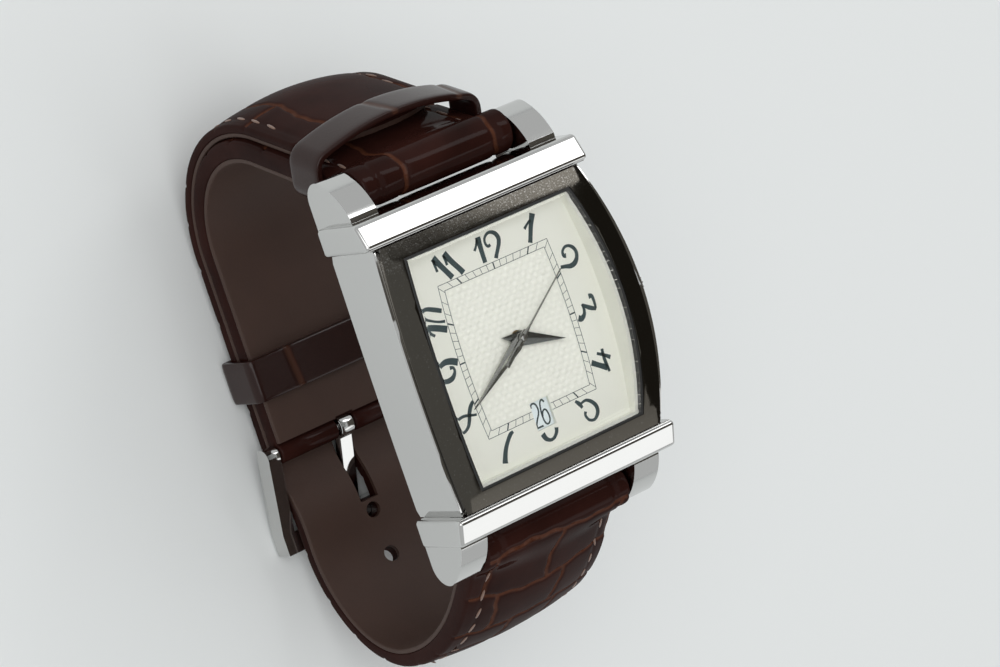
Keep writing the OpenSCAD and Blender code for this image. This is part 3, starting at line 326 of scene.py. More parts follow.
# Plainer finishes: colour or the property that holds it, roughness, metal, darkness and noise scale of the specks
PLAIN = {
    "rubber": ((0.02, 0.02, 0.02), 0.55, 0, 0.3, 900),
    "hand_grey": ("watch_dial.hand", 0.14, 1, 0, 900),
    "hand_bright": ("watch_dial.bright_hand", 0.12, 1, 0, 900),
    "brass": ("watch_metal.brass", 0.28, 1, 0.1, 900),
    "white_print": ((0.84, 0.91, 0.93), 0.4, 0, 0.02, 900),
    "holder_plastic": ((0.78, 0.78, 0.74), 0.5, 0, 0.04, 900),
    "magnet": ((0.12, 0.12, 0.13), 0.4, 1, 0.2, 900),
    "soft_iron": ((0.42, 0.42, 0.40), 0.35, 1, 0.1, 900),
    "copper": ((0.62, 0.25, 0.10), 0.3, 1, 0.1, 900),
    "circuit": ((0.02, 0.16, 0.07), 0.35, 0, 0.2, 900),
    "ink": ("watch_dial.ink", 0.35, 0, 0.15, 6000),
    "felt": ((0.12, 0.07, 0.04), 0.9, 0, 0.3, 900),
}


def plain(name, scene):
    """A finish of one colour, with a little uneven gloss and darker specks."""
    tone, rough, metal, speck, scale = PLAIN[name]
    tone = scene.path_resolve(tone) if isinstance(tone, str) else tone
    look = Finish(name, metallic=metal)
    spots = look.noise(scale, 4.0)
    look.set(base_color=look.mix(spots, tinted(tone, 1 - speck), tone), roughness=spots * 0.12 + (rough - 0.06))
    return look


def material(name):
    """A finish by its name, made once."""
    scene = bpy.context.scene
    found = bpy.data.materials.get("watch_" + name)
    return found or (MAKERS[name](scene) if name in MAKERS else plain(name, scene)).material


def slot_of(node):
    return next(part["material_slot"] for part in frame["record"]["subparts"] if part["node"] == node)


def body_of(node):
    return next(name for name, nodes in frame["record"]["behaviour"]["bodies"].items() if node in nodes)


# Making pieces
WELD = 1e-7
FLAT = radians(0.4)
CORNER = radians(24)


def in_scene(name, mesh):
    """A bmesh made into an object of the scene."""
    data = bpy.data.meshes.new(name)
    mesh.to_mesh(data)
    mesh.free()
    made = bpy.data.objects.new(name, data)
    bpy.context.scene.collection.objects.link(made)
    return made


def piece(name, mesh, slot, nodes=(), body="case", look=None, smooth=CORNER):
    """A piece that rides on a body and stands for the nodes, in its slot's finish or another look."""
    made = in_scene(name, mesh)
    made.data.shade_smooth()
    made.data.set_sharp_from_angle(angle=smooth)
    made.data.materials.append(material(look or slot))
    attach(made, body)
    if nodes:
        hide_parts(*nodes)
    return made


def sheet(columns, rows, size=0.5):
    """A mesh of a flat square grid round the origin, to be given its shape."""
    mesh = bmesh.new()
    bmesh.ops.create_grid(mesh, x_segments=columns, y_segments=rows, size=size)
    return mesh


def outward(mesh, weld=False):
    """Turns a mesh's faces outwards, after its doubled points are joined if it has any."""
    if weld:
        bmesh.ops.remove_doubles(mesh, verts=mesh.verts, dist=WELD)
    bmesh.ops.recalc_face_normals(mesh, faces=mesh.faces)


def bevel(mesh, edges, width, segments, clamp=False):
    """Rounds edges of a mesh."""
    bmesh.ops.bevel(mesh, geom=edges, offset=width, offset_type="OFFSET", affect="EDGES", segments=segments,
                    profile=0.5, material=-1, clamp_overlap=clamp)


def flat_faces(made):
    """Keeps broad faces flat in their reflections."""
    step = made.modifiers.new("flat_faces", "WEIGHTED_NORMAL")
    step.weight = 90
    step.keep_sharp = True


def eased(node, name, width, segments, ends):
    """A node's own shape and finish, with rounded edges, rounder at a bar's two ends."""
    mesh = bmesh.new()
    mesh.from_mesh(frame["nodes"][node].data)
    bmesh.ops.remove_doubles(mesh, verts=mesh.verts, dist=WELD)
    bmesh.ops.dissolve_limit(mesh, angle_limit=FLAT, verts=mesh.verts, edges=mesh.edges, use_dissolve_boundaries=False)
    if ends:
        reach = max(v.co.x for v in mesh.verts) - 0.01 * MM
        bevel(mesh, [e for e in mesh.edges if all(abs(v.co.x) > reach for v in e.verts)], ends * MM, 5, True)
    sharp = [e for e in mesh.edges if len(e.link_faces) == 2 and e.calc_face_angle(0) > CORNER]
    bevel(mesh, sharp, width, segments, True)
    flat_faces(piece(name, mesh, slot_of(node), (node,), body_of(node)))


class WATCH_OT_carried(bpy.types.Operator):
    """Gives every carried-over part its finish"""
    bl_idname = "watch.carried"
    bl_label = "Finish the inner parts"

    def execute(self, context):
        for name, node in frame["nodes"].items():
            node.data.materials.clear()
            node.data.materials.append(material(slot_of(name)))
        return {"FINISHED"}


# Pieces with the CAD's shape: node, name, edge as a share of the set one, its segments, and rounding at the ends in mm
EASED = (
    ("case_middle", "case_body", 2, 3, 0),
    ("end_bar_12", "bar_at_twelve", 1.5, 3, 0.6),
    ("end_bar_6", "bar_at_six", 1.5, 3, 0.6),
    ("bezel", "bezel_band", 1, 2, 0),
    ("crown", "fluted_crown", 0.6, 2, 0),
    ("case_back", "back_cover", 1, 2, 0),
    ("buckle_frame", "buckle_bow", 2, 3, 0),
    ("buckle_tang", "buckle_pin_tang", 2, 3, 0),
)


class WATCH_OT_case(bpy.types.Operator):
    """Case, end bars, bezel, crown, case back and buckle, with rounded edges"""
    bl_idname = "watch.case"
    bl_label = "Case and buckle"

    def execute(self, context):
        for node, name, share, segments, ends in EASED:
            eased(node, name, context.scene.watch_metal.edge * share, segments, ends)
        return {"FINISHED"}


# The crystal, in millimetres from the ridges of the end bars
CRYSTAL = {"half_w": 13.22, "half_l": 13.5, "bow": 65.0, "case_half": 16.7, "top_r": 55.7, "low_r": 54.3,
           "arch_z": -53.75, "chamfer": 0.16}


class WATCH_OT_crystal(bpy.types.Operator):
    """The arched crystal with its polished chamfer"""
    bl_idname = "watch.crystal"
    bl_label = "Crystal"

    def execute(self, context):
        shape = CRYSTAL
        mesh = sheet(16, 72)
        lower = set(mesh.verts)
        raised = bmesh.ops.extrude_face_region(mesh, geom=mesh.faces[:])["geom"]
        upper = {g for g in raised if isinstance(g, bmesh.types.BMVert)}
        side_r = shape["bow"] + shape["half_w"] - shape["case_half"]
        for vert in mesh.verts:
            y = vert.co.y * 2 * shape["half_l"]
            half = sqrt(side_r ** 2 - y * y) + shape["case_half"] - shape["bow"]
            radius = shape["top_r"] if vert in upper else shape["low_r"]
            vert.co = at_ridges(vert.co.x * 2 * half, y, shape["arch_z"] + sqrt(radius ** 2 - y * y))
        outward(mesh)
        rim = [e for e in mesh.edges if e.verts[0] in upper and e.verts[1] in upper
               and any(v in lower for f in e.link_faces for v in f.verts)]
        bevel(mesh, rim, shape["chamfer"] * MM, 2)
        flat_faces(piece("crystal_glass", mesh, "crystal", ("crystal",)))
        return {"FINISHED"}


# The strap, in millimetres from the ridges of the end bars, as the solids have it. First its width at the case and
# at its ends, its thickness at the case and at each piece's end, and how far its edges lie under its middle
STRAP_W = 21.6
STRAP_END_W = 20.0
STRAP_T = 4.0
SHORT_T = 2.6
TAIL_T = 1.9
CROWN = 1.4
TAIL_EDGE = 0.4
TIP_R = 13.0
LINING_T = 0.6
LAYER_GAP = 0.15
# The spring bars and the buckle's pin
PIVOT = (21.83, -7.8)
BAR_BORE = 0.95
PIN_BORE = 0.8
BUCKLE_Y = 9.5
# Each piece's way: its fall from the case in degrees, straight run and bend, and where the long one crosses the buckle
FALL_12 = 72.0
FALL_6 = 45.0
RUN_12 = 20.0
RUN_6 = 9.0
CORNER_12 = 15.4
ARC_6 = 26.0
CROSS_OUT = 10.0
CROSS_IN = 2.0
TIP_12 = 7.3
# Holes, counted from the tang's, and the slots that the tang goes through; a stitch's half width, length and height
HOLES = (-2, -1, 1, 2, 3, 4)
HOLE_STEP = 6.5
HOLE_R = 1.0
SLOT_12 = (2.6, 9.0, 6)
SLOT_6 = (2.6, 9.6, 7)
STITCH_X = 8.5
STITCH_STEP = 3.2
STITCH_FROM = 4.5
STITCH = (0.2, 1.0, 0.11)
STITCH_RISE = 0.03
STITCH_SLANT = radians(7)
HIDE_CORNER = radians(50)


def left(heading):
    return -sin(heading), cos(heading)


class Route:
    """A line of straights and arcs in a plane. An arc of positive radius turns left."""

    def __init__(self, start, heading, stretches):
        self.start, self.heading, self.stretches = start, heading, stretches
        self.length = sum(length for length, _ in stretches)

    def spot(self, s):
        """The point after a length s, and the heading there."""
        (a, b), h = self.start, self.heading
        for place, (length, radius) in enumerate(self.stretches):
            ends_here = s <= length or place == len(self.stretches) - 1
            step = s if ends_here else length
            if radius:
                turned = h + step / radius
                a += radius * (sin(turned) - sin(h))
                b += radius * (cos(h) - cos(turned))
                h = turned
            else:
                a += step * cos(h)
                b += step * sin(h)
            if ends_here:
                return a, b, h
            s -= length

    def off(self, s, height):
        """A point beside the line, to its left."""
        a, b, h = self.spot(s)
        return a + height * left(h)[0], b + height * left(h)[1]


def strap_start(fall):
    h = radians(-fall)
    return (PIVOT[0] + STRAP_T / 2 * left(h)[0], PIVOT[1] + STRAP_T / 2 * left(h)[1]), h


START_12, HEAD_12 = strap_start(FALL_12)
START_6, HEAD_6 = strap_start(FALL_6)
CORNER_TURN = pi + HEAD_12
TO_CORNER = Route(START_12, HEAD_12, [(RUN_12, 0), (CORNER_12 * CORNER_TURN, -CORNER_12)])
FLAT_12, LOOP_Z, _ = TO_CORNER.spot(TO_CORNER.length)
ROUTE_12 = Route(START_12, HEAD_12, TO_CORNER.stretches + [(FLAT_12 + BUCKLE_Y, 0)])
SIDE_TURN = pi / 2 + HEAD_6
TO_SIDE = Route(START_6, HEAD_6, [(RUN_6, 0), (ARC_6 * SIDE_TURN, -ARC_6)])
SIDE_Y, SIDE_Z, _ = TO_SIDE.spot(TO_SIDE.length)
CORNER_6 = SIDE_Z - LOOP_Z
FLAT_6 = SIDE_Y - CORNER_6
TAIL_AT = LAYER_GAP + TAIL_T
CROSS_TURN = 2 * atan(TAIL_AT / (CROSS_OUT - CROSS_IN))
CROSS_R = (CROSS_OUT - CROSS_IN) / 2 / sin(CROSS_TURN)
ROUTE_6 = Route(START_6, HEAD_6, TO_SIDE.stretches + [
    (CORNER_6 * pi / 2, -CORNER_6), (FLAT_6 - BUCKLE_Y - CROSS_OUT, 0),
    (CROSS_R * CROSS_TURN, CROSS_R), (CROSS_R * CROSS_TURN, -CROSS_R), (BUCKLE_Y + CROSS_IN + FLAT_12, 0),
    ((CORNER_12 + TAIL_AT) * CORNER_TURN, -(CORNER_12 + TAIL_AT)), (RUN_12 - TIP_12, 0)])
LENGTHS_6 = [length for length, _ in ROUTE_6.stretches]
TAIL_FROM = sum(LENGTHS_6[:4])
TAIL_BEND = sum(LENGTHS_6[:7])
TAIL_RUN = TAIL_BEND + LENGTHS_6[7]
TANG_HOLE = TAIL_FROM + CROSS_R * CROSS_TURN * 1.28
PIN = (-BUCKLE_Y, LOOP_Z + SHORT_T / 2)
THIN_12 = RUN_12 + CORNER_12 * CORNER_TURN
THIN_6 = RUN_6 + ARC_6 * SIDE_TURN + 14


def ease(s, start, end):
    k = max(0.0, min(1.0, (s - start) / (end - start)))
    return k * k * (3 - 2 * k)


def bore_top(distance, depth, bore):
    """How far a round hole's top lies from the outside, or None beside the hole."""
    return None if abs(distance) >= bore else sqrt(bore * bore - distance * distance) - depth


def jitter(k):
    """A number from -1 to 1 that looks like chance and is the same each time."""
    return 2 * ((sin(k * 12.9898 + 4.1) * 43758.5453) % 1) - 1


class Scales:
    """The hide's scales: rows along a strap, each split by creases."""
    depth = 0.2
    width = 0.24

    def __init__(self, rows, cuts=()):
        self.rows, self.cuts = rows, cuts

    def crease(self, x, s):
        """1 in the middle of a crease, 0 on a scale."""
        nearest = 9.0
        low = -99.0
        for place, (high, splits) in enumerate(self.rows):
            bend = 0.45 * sin(0.33 * x + 2.1 * place) + 0.12 * sin(1.9 * x + place)
            if s < high + bend + 2:
                nearest = min(nearest, abs(s - high - bend))
            if low <= s < high + bend:
                for split in splits:
                    wander = 0.3 * sin(0.55 * s + 3 * split) + 0.08 * sin(2.3 * s + split)
                    nearest = min(nearest, abs(x - split - wander))
                break
            low = high + bend
        for at, x_from, x_to in self.cuts:
            if x_from < x < x_to:
                nearest = min(nearest, abs(s - at - 0.2 * sin(x)))
        return exp(-(nearest / self.width) ** 2), nearest

    def height(self, x, s):
        """How far the hide rises or sinks, and how much of it is crease."""
        crease, nearest = self.crease(x, s)
        pillow = 0.07 * (1 - exp(-nearest / 0.9))
        groove = 0.09 * exp(-((abs(x) - STITCH_X) / 0.4) ** 2)
        return pillow - self.depth * crease - groove, crease


def plain_rows(start, end, step):
    """Rows of three scales, with the splits a little off from row to row."""
    rows = []
    k = 0
    while start + step * k < end:
        at = start + step * (k + 1) + 0.7 * jitter(k)
        rows.append((at, (-3.4 + 1.4 * jitter(k + 40), 3.6 + 1.4 * jitter(k + 80))))
        k += 1
    return rows


END_6 = ROUTE_6.length
SCALES_12 = Scales([(11.5, (-5.1, 8.3))] + plain_rows(11.5, ROUTE_12.length + 8, 6.6))
SCALES_6 = Scales([(-0.5, ()), (8.3, (-8.7, 0.5, 9.9)), (15.4, (-6.2, 3.1))]
                  + plain_rows(15.4, END_6 - 38, 6.2)
                  + [(END_6 - 22, (-4.2, 6.4)), (END_6 + 9, (-5.2, 8.3))],
                  [(END_6 - 14.2, -11, -5.3)])


class Layer:
    """One layer of a strap piece, by its heights above the strap's outside."""
    corner, foot = 0.45, 0.22

    def __init__(self, route, flip, scales=None):
        self.route, self.flip, self.scales = route, flip, scales
        self.run, self.thin, self.end_t = (RUN_6, THIN_6, TAIL_T) if flip else (RUN_12, THIN_12, SHORT_T)

    def half(self, s):
        half = (STRAP_W + (STRAP_END_W - STRAP_W) * min(1.0, max(0.0, s) / self.thin)) / 2
        rest = self.route.length - s
        if self.flip and rest < TIP_R:
            half = min(half, sqrt(max(0.09, TIP_R ** 2 - (TIP_R - rest) ** 2)))
        return half

    def crown(self, s):
        """How far the strap's edges lie under its middle."""
        again = ease(s, TAIL_BEND, TAIL_RUN) if self.flip else 0
        return CROWN * (ease(s, 0, 4) - ease(s, self.run, self.thin) + again)

    def outside(self, s, x):
        fall = self.crown(s) * (2 * x / STRAP_W) ** 2
        if self.flip:
            fall += TAIL_EDGE * ease(s, TAIL_BEND, TAIL_RUN) * (2 * x / STRAP_END_W) ** 2
        return -fall

    def inside(self, s, x):
        fall = self.crown(s) if self.flip and s >= TAIL_FROM else 0.0
        thick = STRAP_T + (self.end_t - STRAP_T) * ease(s, self.run, self.thin)
        return -fall * (2 * x / STRAP_W) ** 2 - thick

    def place(self, x, s, height):
        """A point in metres. Before the strap's start, it lies round the spring bar."""
        y, z = self.route.off(max(0.0, s), height)
        if s < 0:
            turn = ROLL_TURN * -s / ROLL_L
            dy, dz = y - PIVOT[0], z - PIVOT[1]
            y = PIVOT[0] + dy * cos(turn) - dz * sin(turn)
            z = PIVOT[1] + dy * sin(turn) + dz * cos(turn)
        return at_ridges(x, -y if self.flip else y, z)


class Hide(Layer):
    """The outer leather, with its padding."""

    def top(self, s, x):
        rise, _ = self.scales.height(x, s)
        return self.outside(s, x) + rise + ROLL_BULGE * (1 - ease(s, 0, ROLL_RUN))

    def low(self, s, x):
        if s < 0:
            return BAR_BORE - STRAP_T / 2
        at_bar = bore_top(s, STRAP_T / 2, BAR_BORE)
        if at_bar is not None:
            return at_bar
        if not self.flip:
            at_pin = bore_top(self.route.length - s, SHORT_T / 2, PIN_BORE)
            if at_pin is not None:
                return at_pin
        return self.inside(s, x) + LINING_T


class Lining(Layer):
    """The lining, glued under the padding."""
    corner, foot = 0.12, 0.25

    def top(self, s, x):
        return self.inside(s, x) + LINING_T

    def low(self, s, x):
        return self.inside(s, x)

    def half(self, s):
        return super().half(s) - 0.12


# The leather folded round the spring bars: how far it stands out, how far along the strap, and its turn
ROLL_BULGE = 0.55
ROLL_RUN = 4.5
ROLL_TURN = radians(200)
ROLL_L = ROLL_TURN * (STRAP_T / 2 + ROLL_BULGE)

# Where the parts of a strap's section end, as shares of the way round it, and the mesh's steps round and along it
TOP, CORNER_R, FOOT_R, UNDER, FOOT_L, CORNER_L = 0.70, 0.74, 0.78, 0.92, 0.96, 1.0
AROUND = 150
FINE_STEP = 0.26


def section(layer, s, a):
    """A layer's section at a share a of the way round: across the top, down, and back under."""
    half, corner, foot = layer.half(s), layer.corner, layer.foot
    if half < 2 * (corner + foot):
        corner = foot = half / 4
    if a <= TOP:
        x = (2 * a / TOP - 1) * (half - corner)
        return x, layer.top(s, x)
    if FOOT_R < a <= UNDER:
        x = (1 - 2 * (a - FOOT_R) / (UNDER - FOOT_R)) * (half - foot)
        return x, layer.low(s, x)
    side = 1 if a <= FOOT_R else -1
    if a > FOOT_L or a <= CORNER_R:
        share = (a - TOP) / (CORNER_R - TOP) if side > 0 else (CORNER_L - a) / (CORNER_L - FOOT_L)
        turn = share * pi / 2
        edge = side * (half - corner)
        return edge + side * corner * sin(turn), layer.top(s, edge) - corner * (1 - cos(turn))
    share = (a - CORNER_R) / (FOOT_R - CORNER_R) if side > 0 else (FOOT_L - a) / (FOOT_L - UNDER)
    turn = share * pi / 2
    edge = side * (half - foot)
    return edge + side * foot * cos(turn), layer.low(s, edge) + foot * (1 - sin(turn))


def swept(layer, start, end, rows):
    """A closed band of a layer, from one length along its route to another, with its own map."""
    mesh = sheet(AROUND, rows)
    crease = mesh.verts.layers.float.new("crease")
    along = mesh.loops.layers.uv.new("along")
    flat = {}
    for vert in mesh.verts:
        a, s = flat[vert] = vert.co.x + 0.5, start + (vert.co.y + 0.5) * (end - start)
        x, height = section(layer, s, a)
        if layer.scales and a <= TOP:
            vert[crease] = layer.scales.height(x, s)[1]
        vert.co = layer.place(x, s, height)
    for face in mesh.faces:
        for loop in face.loops:
            a, s = flat[loop.vert]
            loop[along].uv = (a * 30, s)
    bmesh.ops.remove_doubles(mesh, verts=mesh.verts, dist=WELD)
    bmesh.ops.holes_fill(mesh, edges=[e for e in mesh.edges if e.is_boundary], sides=0)
    outward(mesh)
    return mesh


def add_sleeve(mesh, layer, at, outer, bore, x_from, x_to, steps=40):
    """The turned end of a strap round a bar, as a spun sleeve with soft rims."""
    rim = ((0, bore), (0, outer - 0.25), (0.075, outer - 0.075), (0.25, outer))
    rims = [(x_from + x, r) for x, r in rim] + [(x_to - x, r) for x, r in reversed(rim)]
    centre = at_ridges(0, -at[0] if layer.flip else at[0], at[1])
    verts = [mesh.verts.new(centre + Vector((x, 0, r)) * MM) for x, r in rims]
    edges = [mesh.edges.new((verts[k - 1], verts[k])) for k in range(len(verts))]
    bmesh.ops.spin(mesh, geom=verts + edges, cent=centre, axis=(1, 0, 0), angle=tau, steps=steps, use_merge=True)
    outward(mesh, weld=True)


def cut(made, cutters):
    """Cuts one mesh out of an object for good."""
    tool = in_scene("cutters", cutters)
    step = made.modifiers.new("holes", "BOOLEAN")
    step.operation = "DIFFERENCE"
    step.solver = "EXACT"
    step.object = tool
    bpy.context.view_layer.update()
    whole = bpy.data.meshes.new_from_object(made.evaluated_get(bpy.context.evaluated_depsgraph_get()))
    made.modifiers.clear()
    made.data = whole
    spare = tool.data
    bpy.data.objects.remove(tool)
    bpy.data.meshes.remove(spare)


def holes(layer):
    """What is cut out of a strap piece: the tang's slot, and the long piece's round holes."""
    mesh = bmesh.new()
    if layer.flip:
        centre, size = layer.place(0, TANG_HOLE, 0), SLOT_6
        for k in HOLES:
            s = TANG_HOLE + k * HOLE_STEP
            place = Matrix.Translation(layer.place(0, s, 0)) @ Matrix.Rotation(-layer.route.spot(s)[2], 4, "X")
            bmesh.ops.create_cone(mesh, cap_ends=True, segments=28, radius1=HOLE_R * MM, radius2=HOLE_R * MM,
                                  depth=SLOT_6[2] * MM, matrix=place)
    else:
        centre, size = at_ridges(0, PIN[0] - 3.0, PIN[1]), SLOT_12
    slot = Matrix.Translation(centre) @ Matrix.Diagonal((*(v * MM for v in size), 1))
    bmesh.ops.create_cube(mesh, size=1, matrix=slot)
    return mesh


def stitched(name, layer, end, bare, node):
    """Both runs of stitches along a strap piece, a bead of thread each."""
    mesh = bmesh.new()
    size = Matrix.Diagonal((*(v * MM for v in STITCH), 1))
    for k in range(int((end - STITCH_FROM) / STITCH_STEP) + 1):
        s = STITCH_FROM + k * STITCH_STEP
        if bare[0] < s < bare[1]:
            continue
        for side in (-1, 1):
            x = side * STITCH_X
            here = layer.place(x, s, layer.top(s, x) + STITCH_RISE)
            ahead = (layer.place(x, s + 0.5, layer.top(s + 0.5, x) + STITCH_RISE) - here).normalized()
            across = layer.place(x + 0.5, s, layer.outside(s, x + 0.5)) - layer.place(x, s, layer.outside(s, x))
            up = across.cross(ahead).normalized() * (-1 if layer.flip else 1)
            stand = Matrix((ahead.cross(up), ahead, up)).transposed().to_4x4()
            place = Matrix.Translation(here) @ stand @ Matrix.Rotation(side * STITCH_SLANT, 4, "Z") @ size
            bmesh.ops.create_uvsphere(mesh, u_segments=8, v_segments=6, radius=1, matrix=place)
    outward(mesh)
    piece(name, mesh, "thread", (node,), smooth=pi)


# The strap's pieces: name, number, route, if it goes towards six, scales, how far before its end the lining stops,
# the lining's rows, how far before its end the stitches stop, and the stretch that is bare of them
STRAPS = (
    ("twelve", "12", ROUTE_12, False, SCALES_12, SHORT_T / 2, 160, 6, (0, 0)),
    ("six", "6", ROUTE_6, True, SCALES_6, 0.15, 300, 8, (TAIL_FROM - 1, TAIL_FROM + 2 * CROSS_R * CROSS_TURN + 1)),
)


class WATCH_OT_strap(bpy.types.Operator):
    """Both strap pieces: hide with its scales, lining and stitches"""
    bl_idname = "watch.strap"
    bl_label = "Strap"

    def execute(self, context):
        step = FINE_STEP
        for place, number, route, flip, scales, unlined, rows, unstitched, bare in STRAPS:
            hide, under = Hide(route, flip, scales), Lining(route, flip)
            mesh = swept(hide, -ROLL_L, route.length, int((ROLL_L + route.length) / step))
            add_sleeve(mesh, hide, PIVOT, STRAP_T / 2 - 0.1, BAR_BORE, -STRAP_W / 2 + 0.3, STRAP_W / 2 - 0.3)
            for low, high in () if flip else ((0.05 - STRAP_END_W / 2, -1.3), (1.3, STRAP_END_W / 2 - 0.05)):
                add_sleeve(mesh, hide, PIN, SHORT_T / 2, PIN_BORE, low, high, 28)
            node = "strap_" + number + "_"
            upper = piece("leather_at_" + place, mesh, "leather", (node + "leather", node + "padding"),
                          smooth=HIDE_CORNER)
            mesh = swept(under, STRAP_T / 2, route.length - unlined, rows)
            lower = piece("lining_at_" + place, mesh, "lining", (node + "lining",), smooth=HIDE_CORNER)
            for made in (upper, lower):
                cut(made, holes(hide))
            stitched("stitches_at_" + place, hide, route.length - unstitched, bare, node + "stitching")
        return {"FINISHED"}


# The keepers, in millimetres
KEEPER_W = 5.3
KEEPER_T = 1.0
KEEPER_PLAY = 0.25
KEEPER_12 = 4.6
KEEPER_ARCH = 32.0
KEEPER_CORNER = 1.9
LOOP_PLAY = 0.15
LOOP_ARCH = 900.0
LOOP_CORNER = 0.5
# How square a keeper's section is, from 1, round, towards 0, and how wide and deep its creases are
ROUNDNESS = 0.34
CREASE_W = 0.42
CREASE_DEPTH = 0.12


def keeper_outline(half, top, low, corner, arch):
    """The middle of a keeper's thickness, seen along the strap: x across, and the height."""
    centre_z = top - arch
    corner_z = centre_z + sqrt((arch - corner) ** 2 - (half - corner) ** 2)
    lean = atan2(corner_z - centre_z, half - corner)
    side = corner_z - low - corner
    quarter = (corner * pi / 2, corner)
    return Route((0, low), 0, [(half - corner, 0), quarter, (side, 0), (corner * lean, corner),
                               (arch * (pi - 2 * lean), arch), (corner * lean, corner), (side, 0), quarter,
                               (half - corner, 0)])


def keeper_section(a):
    """A rounded bar's outline at a share a of the way round: across its width, and out."""
    turn = tau * a
    return [copysign(abs(v) ** ROUNDNESS, v) * size / 2
            for v, size in ((cos(turn), KEEPER_W), (sin(turn), KEEPER_T))]


def keeper(name, outline, place, node, creases, body="case"):
    """A closed band of soft-edged leather, with creases across it."""
    mesh = sheet(260, 48)
    crease = mesh.verts.layers.float.new("crease")
    for vert in mesh.verts:
        s = (vert.co.x + 0.5) * outline.length
        across, out = keeper_section(vert.co.y + 0.5)
        x, z, heading = outline.spot(s)
        mark = max(exp(-((s - at - lean * across) / CREASE_W) ** 2) for at, lean in creases) if out > 0 else 0
        out -= CREASE_DEPTH * mark
        vert[crease] = mark
        vert.co = place(x + out * sin(heading), across, z - out * cos(heading))
    outward(mesh, weld=True)
    piece(name, mesh, "leather", (node,), body, "keeper_leather", pi)


class WATCH_OT_keepers(bpy.types.Operator):
    """The sliding keeper and the fixed one"""
    bl_idname = "watch.keepers"
    bl_label = "Keepers"

    def execute(self, context):
        room = KEEPER_PLAY + KEEPER_T / 2
        outline = keeper_outline(STRAP_W / 2 + room, TAIL_AT + room, -STRAP_T - room, KEEPER_CORNER,
                                 KEEPER_ARCH + KEEPER_T / 2)

        def on_strap(x, across, height):
            return at_ridges(x, *ROUTE_12.off(KEEPER_12 + KEEPER_W / 2 + across, height))
        top = outline.length / 2
        keeper("sliding_band", outline, on_strap, "sliding_keeper", ((top + 0.6, 0.18), (top - 9.4, -0.1)),
               "sliding_keeper")

        room = LOOP_PLAY + KEEPER_T / 2
        outline = keeper_outline(STRAP_END_W / 2 + room, LOOP_Z + SHORT_T + room + RIDGE_Z / MM,
                                 FLOOR_Z / MM + KEEPER_T / 2, LOOP_CORNER, LOOP_ARCH)
        keeper("fixed_band", outline, lambda x, across, height: Vector((x, across, height)) * MM, "fixed_keeper",
               ((outline.length / 2 + 5, 0.1),))
        return {"FINISHED"}


# The dial's print, drawn on a grid of so many squares to the millimetre, from the dial's centre
GRID = 46
NUMERALS = {
    "1": [[(328, 567, 28), (298, 515, 22), (273, 460, 20), (259, 430, 22)], [(305, 540, 12), (278, 527, 10),
        (251, 508, 13)]],
    "2": [[(447, 292, 20), (433, 298, 16), (434, 320, 12), (456, 337, 12), (483, 334, 13), (505, 316, 16),
        (515, 290, 16), (507, 260, 18), (484, 238, 22), (453, 233, 20), (423, 241, 16), (392, 247, 14)]],
    "3": [[(501, 47, 22), (521, 42, 16), (525, 5, 13), (521, -27, 12)], [(523, -29, 14), (483, -8, 19), (446, 20, 12)],
        [(445, 24, 10), (449, -5, 13), (439, -32, 17), (415, -45, 24), (398, -36, 26)]],
    "4": [[(388, -280, 24), (428, -308, 22), (474, -338, 26)], [(478, -235, 14), (473, -275, 15), (475, -315, 16),
        (480, -362, 12)], [(438, -247, 12), (478, -270, 14), (513, -295, 18)]],
    "5": [[(214, -428, 12), (233, -450, 18), (245, -476, 12)], [(246, -452, 10), (278, -447, 12), (308, -464, 16),
        (330, -495, 18), (328, -530, 18), (298, -558, 13), (263, -550, 12), (248, -520, 12), (256, -501, 14)]],
    "6": [[(-42, -511, 24), (-31, -540, 20), (-7, -557, 14), (20, -554, 14), (43, -533, 16), (52, -510, 19)]],
    "7": [[(-210, -433, 12), (-232, -441, 18), (-262, -470, 18), (-289, -505, 20), (-309, -545, 23),
        (-317, -567, 27)]],
    "8": [[(-382, -200, 14), (-407, -220, 18), (-427, -250, 18), (-439, -280, 16), (-457, -310, 14), (-482, -327, 12),
        (-505, -328, 12), (-524, -312, 11), (-530, -292, 11), (-522, -270, 11), (-500, -257, 12), (-467, -252, 12),
        (-437, -258, 12), (-407, -267, 10), (-387, -271, 10)]],
    "9": [[(-395, 17, 29), (-432, 35, 27), (-467, 42, 24), (-500, 32, 18), (-522, 12, 13), (-526, -12, 12),
        (-514, -38, 15), (-490, -52, 20), (-460, -50, 21), (-440, -36, 16), (-429, -16, 12), (-434, 2, 12),
        (-452, 5, 16)]],
    "10": [[(-389, 293, 18), (-427, 312, 19), (-467, 330, 17), (-492, 330, 14), (-502, 310, 12), (-495, 287, 12),
        (-467, 267, 10), (-427, 247, 10), (-389, 237, 12)], [(-497, 240, 24), (-447, 220, 26), (-392, 194, 28)],
        [(-497, 222, 12), (-490, 205, 12), (-472, 187, 12)]],
    "11": [[(-339, 560, 30), (-307, 505, 24), (-272, 445, 24), (-262, 427, 26)], [(-343, 550, 14), (-341, 515, 12),
        (-339, 485, 12)], [(-267, 560, 28), (-237, 505, 24), (-202, 450, 24), (-190, 427, 26)], [(-272, 550, 14),
        (-270, 515, 12), (-270, 497, 12)]],
    "12": [[(-40, 567, 26), (-43, 500, 22), (-44, 430, 20)], [(-48, 560, 12), (-66, 528, 10), (-84, 507, 12)],
        [(20, 505, 13), (3, 502, 12), (-7, 520, 11), (-3, 545, 11), (18, 563, 12), (43, 565, 14), (68, 550, 18),
        (80, 523, 20), (73, 495, 19), (53, 465, 17), (38, 445, 17), (28, 428, 19)]],
}
PRINT_T = 0.012
INK_SPREAD = 1.3


